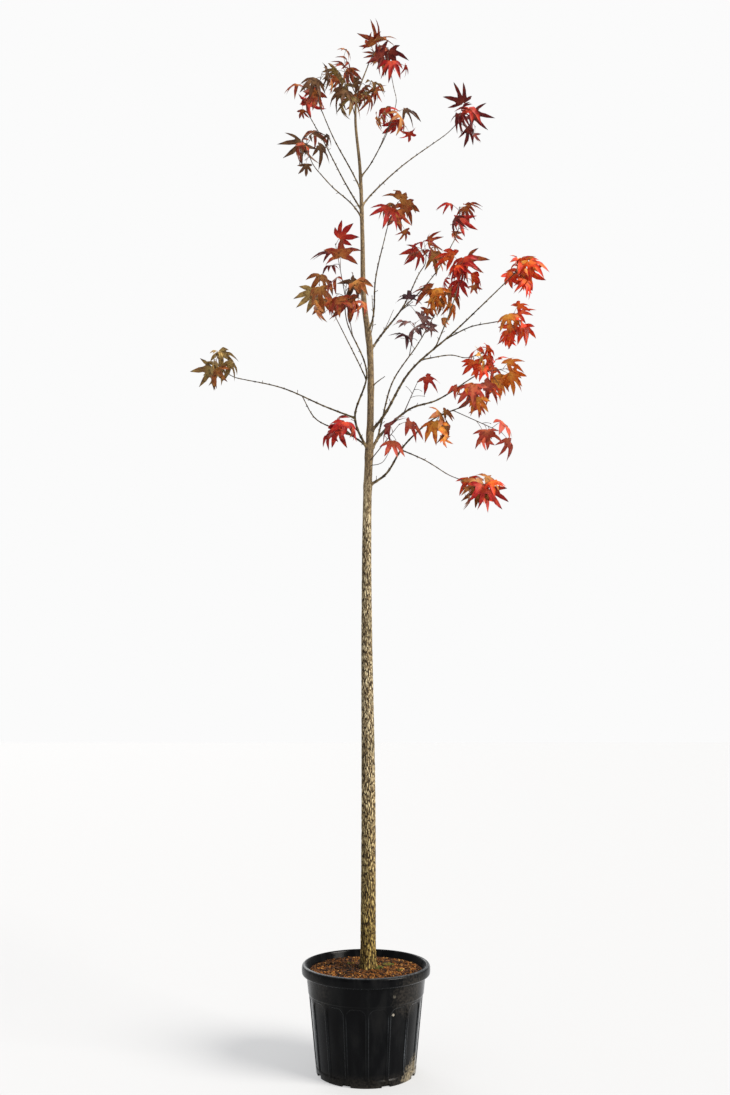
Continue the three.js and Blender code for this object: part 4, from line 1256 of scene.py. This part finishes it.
def carve_furrows(piece, trunk):
    """Raises corky ridges with a net of furrows between them, deep at the foot and faint higher up."""
    mesh = piece.data
    places = np.zeros(len(mesh.vertices) * 3)
    mesh.vertices.foreach_get("co", places)
    places = places.reshape(-1, 3) / MM
    normals = np.array([vertex.normal for vertex in mesh.vertices])
    levels = places[:, 2]
    xs, ys = axis_at(trunk, levels)
    turns = np.arctan2(places[:, 0] - xs, ys - places[:, 1]) / (2 * math.pi)
    warps = np.array([noise.noise(Vector((x / WARP_WIDE, y / WARP_WIDE, z / WARP_TALL)))
                      for x, y, z in places])
    knobs = np.array([noise.noise(Vector((x / KNOB_WIDE, y / KNOB_WIDE, z / KNOB_TALL + KNOB_START)))
                      for x, y, z in places])
    ridge = border_gaps(turns * RIDGES + warps * RIDGE_WARP, levels / RIDGE_HEIGHT, RIDGES, 1) / RIDGE_SLOPE
    flake = border_gaps(turns * FLAKES + warps, levels / FLAKE_HEIGHT, FLAKES, 2) / FLAKE_SLOPE
    ridge, flake = np.clip(ridge, 0, 1), np.clip(flake, 0, 1)
    strengths = np.interp(levels, *zip(*RELIEF))
    girths = 0.5 + 0.5 * np.interp(levels, *zip(*TRUNK_GIRTH)) / FULL_RELIEF_GIRTH
    furrows = np.clip((1 - ridge) + FLAKE_FURROW * (1 - flake), 0, 1) * np.minimum(1, strengths * 1.1)
    lifts = strengths * girths * (RIDGE_LIFT * ridge + FLAKE_LIFT * flake - BARK_SUNK + KNOB_LIFT * knobs)
    places += normals * lifts[:, None]
    mesh.vertices.foreach_set("co", (places * MM).ravel())
    mark(piece, "furrow", furrows)
    mesh.update()


def bough_lines(limbs):
    """Each bough's places and radii, with a flared foot and a ring of scars at every bud."""
    lines = []
    for name, limb in limbs.items():
        if name == "trunk":
            continue
        parent_radius = limbs[limb.on].radius(foot_share(limbs, limb.on, BOUGHS[name][1]))
        shares = along_line(limb, BOUGH_RING)
        radii = []
        for share in shares:
            walked = share * limb.line.length
            out = max(0.0, walked - parent_radius)
            most, reach = BOUGH_FLARE if limb.on == "trunk" else FORK_FLARE
            flare = most * math.exp(-out / reach)
            to_bud = (walked + BUD_SHIFT) % BUD_SPACING - BUD_SPACING / 2
            knot = BUD_KNOT * math.exp(-(to_bud / BUD_KNOT_REACH) ** 2)
            radii.append(limb.radius(share) * (1 + flare + knot))
        lines.append(([limb.line.at(share) for share in shares], radii))
    return lines


def roughen(piece, size, height):
    """Small bumps all over a piece, along its normals."""
    for vertex in piece.data.vertices:
        place = vertex.co / MM
        lift = noise.noise(place / size) + 0.5 * noise.noise(place / size * 2.3)
        vertex.co += vertex.normal * lift * height * MM
    piece.data.update()


def mark_old_wood(piece, trunk):
    """Marks the wood close to the trunk, which has bark as old as the trunk's."""
    places = [vertex.co / MM for vertex in piece.data.vertices]
    xs, ys = axis_at(trunk, [place.z for place in places])
    marks = []
    for place, x, y in zip(places, xs, ys):
        off = math.hypot(place.x - x, place.y - y) - trunk_radius(place.z)
        marks.append(min(1.0, max(0.0, 1 - off / OLD_WOOD_REACH)))
    mark(piece, "old_wood", marks)


# ---------------------------------------------------------------------------------------------
# Twigs, stalks and buds

BUD_SIDES = 5
# A bud's rings: how far along it each is, and how wide.
BUD_RINGS = [(0.28, 1.0), (0.62, 0.8)]
# How deep a bud sits in its wood, and each kind's radius and how far it stands out.
BUD_SUNK = 2
TWIG_BUD, BARE_TWIG_BUD, STEM_BUD, SPUR_BUD = (1.8, 7), (1.7, 7), (2.3, 9), (1.6, 4.5)
STEM_RING = 6
STEM_SWELL, SWELL_REACH = 0.3, 6
STEM_IN_BOUGH = 4
# From here on a stem narrows, by this much at its bud.
NARROW_FROM, NARROWING = 0.6, 0.35
STALK_RINGS = 9
# How far a stalk goes straight out, rises, and comes straight in, as shares of its length.
STALK_OUT, STALK_BOW, STALK_IN = 0.45, 0.06, 0.12
# A stalk's thickness: at its foot, how much thinner it is beyond, and how it widens at the blade.
STALK_RADIUS, STALK_TAPER, STALK_HEAD, HEAD_FROM = 1.5, 0.6, 0.25, 0.85


def spindle(gathered, foot, tip, radius):
    """A bud: a small pointed spindle."""
    way = unit(tip - foot)
    across = unit(np.cross(way, (0.31, 0.17, 0.93)))
    other = np.cross(way, across)
    vertices = [foot]
    for share, width in BUD_RINGS:
        centre = foot + (tip - foot) * share
        for i in range(BUD_SIDES):
            angle = 2 * math.pi * i / BUD_SIDES
            vertices.append(centre + (across * math.cos(angle) + other * math.sin(angle)) * radius * width)
    vertices.append(tip)
    last = len(vertices) - 1
    faces = []
    for i in range(BUD_SIDES):
        a, b = 1 + i, 1 + (i + 1) % BUD_SIDES
        c, d = a + BUD_SIDES, b + BUD_SIDES
        faces += [(0, b, a), (a, b, d, c), (c, d, last)]
    gathered.add(vertices, faces)


def end_bud(buds, line, radius, length):
    """The bud at the end of a line."""
    end, way = line.at(1), line.way(1)
    spindle(buds, end - way * BUD_SUNK, end + way * length, radius)


def stem_line(mass):
    """The stem of a mass, from inside its bough or limb, with a swelling at its foot."""
    stem = mass.stem
    shares = along_line(stem, STEM_RING)
    places = [stem.line.at(share) for share in shares]
    radii = [stem.radius(share) * (1 + STEM_SWELL * math.exp(-share * stem.line.length / SWELL_REACH))
             for share in shares]
    if mass.at == "tip":
        places.insert(0, places[0] - stem.line.way(0) * STEM_IN_BOUGH)
        radii.insert(0, radii[0])
    # Its last run narrows to the bud at its end.
    radii = [radius * (1 - NARROWING * max(0.0, (i / len(radii) - NARROW_FROM) / (1 - NARROW_FROM)))
             for i, radius in enumerate(radii)]
    return places, radii


def stalk_line(leaf):
    """A leaf's stalk: out of its node, over in a low bow, and into the blade from behind."""
    neck = leaf.neck()
    into = unit(leaf.hub - neck)
    length = np.linalg.norm(leaf.hub - leaf.node)
    first = leaf.node + leaf.way * length * STALK_OUT + UP * length * STALK_BOW
    second = neck - into * length * STALK_IN
    places, radii = [], []
    for t in np.linspace(0, 1, STALK_RINGS):
        places.append((1 - t) ** 3 * leaf.node + 3 * (1 - t) ** 2 * t * first
                      + 3 * (1 - t) * t ** 2 * second + t ** 3 * leaf.hub)
        head = STALK_HEAD * max(0, t - HEAD_FROM) / (1 - HEAD_FROM)
        radii.append((STALK_RADIUS - STALK_TAPER * min(1, t * 1.6) + head) * (0.5 + 0.5 * leaf.size))
    return places, radii


SPUR_LENGTH = (2, 15)
# A spur shorter than this is a bare bud.
LEAST_SPUR = 5
SPUR_RADII = [1.6, 1.5, 1.4, 1.3, 1.2]
# A bough's last run, which has no spurs.
SPURLESS_END = 30


def spurs(limbs, buds):
    """Small budded spurs along the boughs, one at each ring of scars."""
    lines = []
    for name, limb in limbs.items():
        if name == "trunk":
            continue
        draws = seeded(sum(map(ord, name)))
        for i in range(1, int((limb.line.length - SPURLESS_END) / BUD_SPACING)):
            walked = i * BUD_SPACING + BUD_SPACING / 2 - BUD_SHIFT
            share = walked / limb.line.length
            foot, along = limb.line.at(share), limb.line.way(share)
            aside = turned(sideways(along, ASIDE_HINT), along, i * GOLDEN_ANGLE + 2 * next(draws))
            way = unit(along * 0.6 + aside)
            radius = limb.radius(share)
            # Most spurs are short, and a few are long.
            length = SPUR_LENGTH[0] + SPUR_LENGTH[1] * next(draws) ** 4
            end = foot + way * (radius + length)
            if length > LEAST_SPUR:
                curve = bending(foot, 2 * (foot + way * radius) - (foot + end) / 2, end)
                lines.append(([curve(t) for t in (0, 0.25, 0.5, 0.75, 1)], SPUR_RADII))
            radius, length = SPUR_BUD
            spindle(buds, end - way * BUD_SUNK, end + unit(way + along * 0.5) * length, radius)
    return lines


TWIG_SIDES = 6
TWIG_RINGS, BARE_TWIG_RINGS = 9, 16
BARE_TWIG_RADIUS, BARE_TWIG_TAPER = 1.9, 0.8
# Curved thin side twigs that carry no leaves: the limb each leaves, where, how far it bows and its end.
BARE_TWIGS = [
    ("bough_tall_right", 0.10, (92, 10, 3060), (122, -6, 3125)),
    ("trunk", 2405, (70, -60, 2400), (104, -118, 2440)),
]


def twig_pieces(limbs, masses, leaves, finer):
    """The stems, finer twigs and spurs in one piece, the leaf stalks in one, the buds in one."""
    buds = Gathered()
    lines = [stem_line(mass) for mass in masses] + spurs(limbs, buds)
    for twig in finer:
        shares = np.linspace(0, 1, TWIG_RINGS)
        lines.append(([twig.line.at(share) for share in shares], [twig.radius(share) for share in shares]))
        end_bud(buds, twig.line, *TWIG_BUD)
    for on, at, bow, tip in BARE_TWIGS:
        foot = limbs[on].line.at(foot_share(limbs, on, at))
        line = Line(through([foot, bow, tip]))
        shares = np.linspace(0, 1, BARE_TWIG_RINGS)
        lines.append(([line.at(share) for share in shares],
                      [BARE_TWIG_RADIUS - BARE_TWIG_TAPER * share for share in shares]))
        radius, length = BARE_TWIG_BUD
        spindle(buds, np.array(tip, float), tip + line.way(1) * length, radius)
    for mass in masses:
        end_bud(buds, mass.stem.line, *STEM_BUD)
    stalks = [stalk_line(leaf) for found in leaves.values() for leaf in found]
    made = (tube_piece("twigs", lines, TWIG_SIDES), tube_piece("leaf_stalks", stalks, TWIG_SIDES),
            buds.piece("buds"))
    for piece in made:
        smooth(piece)
    return made


# ---------------------------------------------------------------------------------------------
# Leaves

# Each finger's stations: the share of its reach, and the blade's half width there as a share of
# the leaf's length. A finger is narrow at the notches, widest half way out, and drawn to a long point.
STATIONS = [(0.32, 0.0), (0.48, 0.122), (0.65, 0.120), (0.84, 0.062)]
REAR = 165
REAR_SHARE = 0.08
# How a blade is shaped. A pair is the least value and what a draw adds to it at most; DRY_ values are
# what drying adds or takes, and the two of CLOSING are for a fresh and a dry leaf.
FOLD, DRY_FOLD = (0.1, 0.55), 0.35
FINGER_WIDTH, DRY_SLIM = (0.86, 0.42), 0.24
CLOSING = (0.3, 0.45)
LEAST_FAN = 0.72
HANGING, STIFFEST_BEND = 0.42, 1.6
FLATTER = 0.55
NOTCH_UNEVEN, NOTCH_FILL, DRY_NOTCH, NOTCH_LIFT = (0.88, 0.24), 1.42, 0.3, 5
SWAY = 0.26
TIP_DROOP, DROOP_FROM = 16, 0.35
TWIST, DRY_TWIST = 1.1, 1.0
OWN_WIDTH = (0.84, 0.3)
SHORT_FINGER, SHORT_WIDTH = 0.7, 0.85
EDGE_SLIP = 0.07
RIB_AT_TIP = 0.6

# The tints by name: the blade, its heart round the hub, and its dry tips.
TINTS = {
    "crimson": ("#9c181a", "#bc4428", "#420e10"),
    "scarlet": ("#cc2e18", "#da6c2a", "#721812"),
    "brick": ("#8c3020", "#b06a34", "#3a1611"),
    "wine": ("#5e1418", "#7f3426", "#270c0f"),
    "rose": ("#ac3a2c", "#bc6240", "#66241c"),
    "orange": ("#c66420", "#dc9a40", "#7a3016"),
    "amber": ("#c88c40", "#dcb464", "#7a4822"),
    "rust": ("#94502a", "#b07a3e", "#42220f"),
    "umber": ("#5f3d28", "#7e5c3c", "#27180f"),
    "bronze": ("#745432", "#927a44", "#2e1f12"),
    "ochre": ("#927444", "#b89c5e", "#4a3420"),
    # Plum is partly the leaves' own deep purple and partly painted shade, near black for leaves that hang in
    # shade.
    "plum": ("#3c1a1e", "#5c3438", "#1a0a0d"),
    "mauve": ("#7c5250", "#a48078", "#3e2323"),
}


# How far leaves have dried at each height.
DRYING = [(2500, 0.0), (3100, 0.3), (3600, 0.75), (4200, 1.0)]


def dryness(height):
    """How far a leaf has dried: not at all low down, wholly at the top."""
    return float(np.interp(height, *zip(*DRYING)))


def leaf_blade(leaf, draws, loose):
    """One leaf: five long fingers round a hub, each folded along its rib, twisted and curled to its tip.
    loose is how far it may hang folded, from 0 to 1, and the less it may, the closer its fingers are."""
    dry, long = dryness(leaf.hub[2]), LEAF_LENGTH * leaf.size
    fold = drawn(draws, FOLD) + DRY_FOLD * dry
    slim = drawn(draws, FINGER_WIDTH) * (1 - DRY_SLIM * dry)
    shut = next(draws)
    closing = 1 - CLOSING[1] * dry * shut - CLOSING[0] * (1 - dry) * shut ** 2
    closing *= LEAST_FAN + (1 - LEAST_FAN) * loose
    # A leaf that curls little hangs folded instead, its side fingers behind its middle one.
    folded = HANGING * (STIFFEST_BEND - leaf.bend) * long * loose
    flatter = FLATTER * next(draws) * (1 - dry)
    borders = [-REAR, *NOTCHES, REAR]
    shares = [REAR_SHARE, *[NOTCH_SHARE] * len(NOTCHES), REAR_SHARE]
    vertices, traits = [leaf.on_blade(0, 0)], [(1.0, 0.0)]
    for border, share in zip(borders, shares):
        share *= drawn(draws, NOTCH_UNEVEN) * (NOTCH_FILL - DRY_NOTCH * dry)
        lift = fold * NOTCH_LIFT if share > REAR_SHARE * 1.5 else 0
        vertices.append(leaf.on_blade(math.radians(border) * closing, share, lift=lift))
        traits.append((0.0, share))
    faces = []
    for i, (angle, length) in enumerate(FINGERS):
        way = math.radians(angle) * closing
        sway = swung(draws, SWAY)
        droop = (next(draws) - DROOP_FROM) * TIP_DROOP * (1 + dry)
        twist = swung(draws, TWIST + DRY_TWIST * dry)
        droop -= flatter * LEAF_CURL * leaf.bend * long * length ** 2
        droop += folded * abs(math.sin(way)) * length
        width = slim * drawn(draws, OWN_WIDTH) * (SHORT_WIDTH if length < SHORT_FINGER else 1.0)
        first = len(vertices)
        for share, broad in STATIONS:
            turn, fall = way + sway * share, -droop * share ** 2
            vertices.append(leaf.on_blade(turn, length * share, lift=fall))
            traits.append((1.0, share))
            aside = broad * width * long
            for side in (-1, 1) if aside else ():
                at = share + swung(draws, EDGE_SLIP)
                lift = fall + aside * (fold + side * twist * share)
                vertices.append(leaf.on_blade(turn, length * at, side * aside, lift))
                traits.append((0.0, share))
        vertices.append(leaf.on_blade(way + sway, length, lift=-droop))
        traits.append((RIB_AT_TIP, 1.0))
        right, left = 1 + i, 2 + i
        rib, tip = first, len(vertices) - 1
        faces += [(0, right, rib), (0, rib, left)]
        for middle in range(first + 1, tip, 3):
            mid_right, mid_left = middle + 1, middle + 2
            faces += [(right, mid_right, middle, rib), (rib, middle, mid_left, left)]
            right, rib, left = mid_right, middle, mid_left
        faces += [(right, tip, rib), (rib, tip, left)]
    return vertices, faces, traits


BLADE_TRIES = 36


def clear_blade(leaf, draws, seed, others):
    """The leaf's blade, shaped anew until it passes through none of the others, or through the fewest."""
    best = None
    for k in range(BLADE_TRIES):
        loose = 1 - k / (BLADE_TRIES - 1)
        shape = leaf_blade(leaf, draws if k == 0 else seeded(seed + k * 13), loose)
        tree = BVHTree.FromPolygons([Vector(place) for place in shape[0]], shape[1])
        crossed = sum(len(tree.overlap(other)) for other in others)
        if best is None or crossed < best[0]:
            best = (crossed, shape, tree)
        if not crossed:
            break
    others.append(best[2])
    return best[1]


# A mass's first tint falls on this share of its leaves, and its first two on this share.
FIRST_TINT, SECOND_TINT = 0.5, 0.8


def leaf_pieces(masses, leaves):
    """All leaves, joined by tint. Each mass deals out its own tints, mostly the first."""
    by_tint = {tint: (Gathered(), set()) for tint in TINTS}
    for mass in masses:
        draws = seeded(mass.seed * 7919 + round(mass.room) * 101 + len(mass.name))
        next(draws)
        others = []
        for i, leaf in enumerate(leaves[mass.name]):
            chance = next(draws)
            tint = mass.tints[0 if chance < FIRST_TINT else 1 if chance < SECOND_TINT else 2]
            gathered, nodes = by_tint[tint]
            gathered.add(*clear_blade(leaf, draws, mass.seed * 977 + i * 211, others))
            nodes.add(mass.name)
    pieces = {}
    for tint, (gathered, nodes) in by_tint.items():
        if gathered.faces:
            piece = gathered.piece("leaves_" + tint, "rib", "reach")
            smooth(piece)
            pieces[tint] = (piece, sorted(nodes))
    return pieces


# ---------------------------------------------------------------------------------------------
# The whole tree

limbs = grow_limbs()
masses = [Mass(name, limbs) for name in MASSES]
spaces = Spaces(limbs, masses)
grown = {mass.name: spaces.choose(mass) for mass in masses}
leaves = {name: chosen for name, (chosen, _) in grown.items()}
finer = [twig for _, twigs in grown.values() for twig in twigs]

finish_piece(nursery_pot(), pot_plastic(), ["pot"])
finish_piece(compost_bed(), compost_material("damp_peat_compost", "#22130a", "#513018", "#855428"),
             ["soil"])
# Each kind of crumb: its piece and its finish, its tones, its seed, how many there are, and the
# shortest and the longest.
CRUMBS = [
    ("crumbs_dark", "dark_peat_crumbs", ("#140b06", "#2c190d", "#4a2c18"), 11, 1500, 3, 14),
    ("crumbs_rusty", "rusty_bark_crumbs", ("#4c2c12", "#8c5622", "#c0843c"), 12, 1500, 3, 15),
    ("crumbs_pale", "pale_fibre_crumbs", ("#8a6030", "#bd8c4a", "#e2bc78"), 13, 230, 3, 11),
]
for name, finish, tones, seed, count, smallest, largest in CRUMBS:
    finish_piece(scatter_crumbs(seed, count, smallest, largest).piece(name),
                 compost_material(finish, *tones))
MOSS_SEED = 21
# Each patch of moss: where it is, its reach and how many blades it has.
MOSS = [(50, 10, 20, 420), (90, 60, 24, 300), (42, -20, 10, 110), (130, -30, 10, 40), (-60, 70, 14, 80)]
finish_piece(moss_tufts(MOSS_SEED, MOSS).piece("moss"),
             shoot_skin("low_moss", "#414a1c", "#80853c", 0.9))

finish_piece(trunk_piece(limbs), trunk_bark(), ["trunk"])
boughs = tube_piece("boughs", bough_lines(limbs), BOUGH_SIDES)
roughen(boughs, BOUGH_BUMP_SIZE, BOUGH_BUMP)
mark_old_wood(boughs, limbs["trunk"])
smooth(boughs)
finish_piece(boughs, bough_bark(), list(BOUGHS))

twigs, stalks, buds = twig_pieces(limbs, masses, leaves, finer)
finish_piece(twigs, shoot_skin("young_shoot_skin", "#2f2319", "#554233", 0.7), list(MASSES))
finish_piece(stalks, shoot_skin("leaf_stalk_skin", "#4f281d", "#7d4a2e", 0.5))
finish_piece(buds, shoot_skin("bud_scales", "#2e1c14", "#54382a", 0.5))
for tint, (piece, nodes) in leaf_pieces(masses, leaves).items():
    finish_piece(piece, leaf_skin(tint, *TINTS[tint]), nodes)

# ---------------------------------------------------------------------------------------------
# Floor, light and camera

FLOOR_SIZE = 400
CAMERA_PLACE = (-0.004, -3.846, 1.25)
CAMERA_TILT = 11.608
CAMERA_LENS, SENSOR_WIDTH = 30.25, 36.0


def pale_floor():
    """A plain pale floor, far wider than the view."""
    floor = begin(bpy.ops.mesh.primitive_plane_add, "floor", size=FLOOR_SIZE, location=(0, 0, 0))
    # It is lit from within a little, as a light table is, which keeps its shadows faint.
    floor.data.materials.append(new_material("pale_matt_floor", {
        "Base Color": colour("#9fa0a2"), "Roughness": 0.9, "Specular IOR Level": 0.1,
        "Emission Color": colour("#ffffff"), "Emission Strength": 0.40})[0])


def soft_sun(name, way, strength, spread, tint):
    """A soft even light from one side, as from a very large far panel."""
    light = bpy.data.lights.new(name, "SUN")
    light.energy, light.angle, light.color = strength, math.radians(spread), colour(tint)[:3]
    lamp = bpy.data.objects.new(name, light)
    bpy.context.scene.collection.objects.link(lamp)
    lamp.location = Vector(way) * 6
    lamp.rotation_euler = Vector(way).to_track_quat("Z", "Y").to_euler()


pale_floor()
world = bpy.data.worlds.new("pale_room")
world.use_nodes = True
backdrop = world.node_tree.nodes["Background"]
backdrop.inputs["Color"].default_value = colour("#fbfbfb")
# The backdrop shows white, and lights the tree a good deal less than it shows.
seen = world.node_tree.nodes.new("ShaderNodeLightPath").outputs["Is Camera Ray"]
strength = node(world.node_tree, "MapRange", {"To Min": 0.55, "To Max": 1.0}, Value=seen)
world.node_tree.links.new(strength.outputs[0], backdrop.inputs["Strength"])
bpy.context.scene.world = world
soft_sun("key", (0.74, -0.42, 0.56), 5.0, 30, "#fffaf2")
soft_sun("back", (-0.3, 0.8, 0.5), 1.0, 40, "#ffffff")

camera_data = bpy.data.cameras.new("camera")
camera_data.lens, camera_data.sensor_width = CAMERA_LENS, SENSOR_WIDTH
camera = bpy.data.objects.new("camera", camera_data)
bpy.context.scene.collection.objects.link(camera)
camera.location = CAMERA_PLACE
camera.rotation_euler = (math.radians(90 + CAMERA_TILT), 0, 0)
bpy.context.scene.camera = camera
bpy.context.scene.view_settings.view_transform = "Standard"
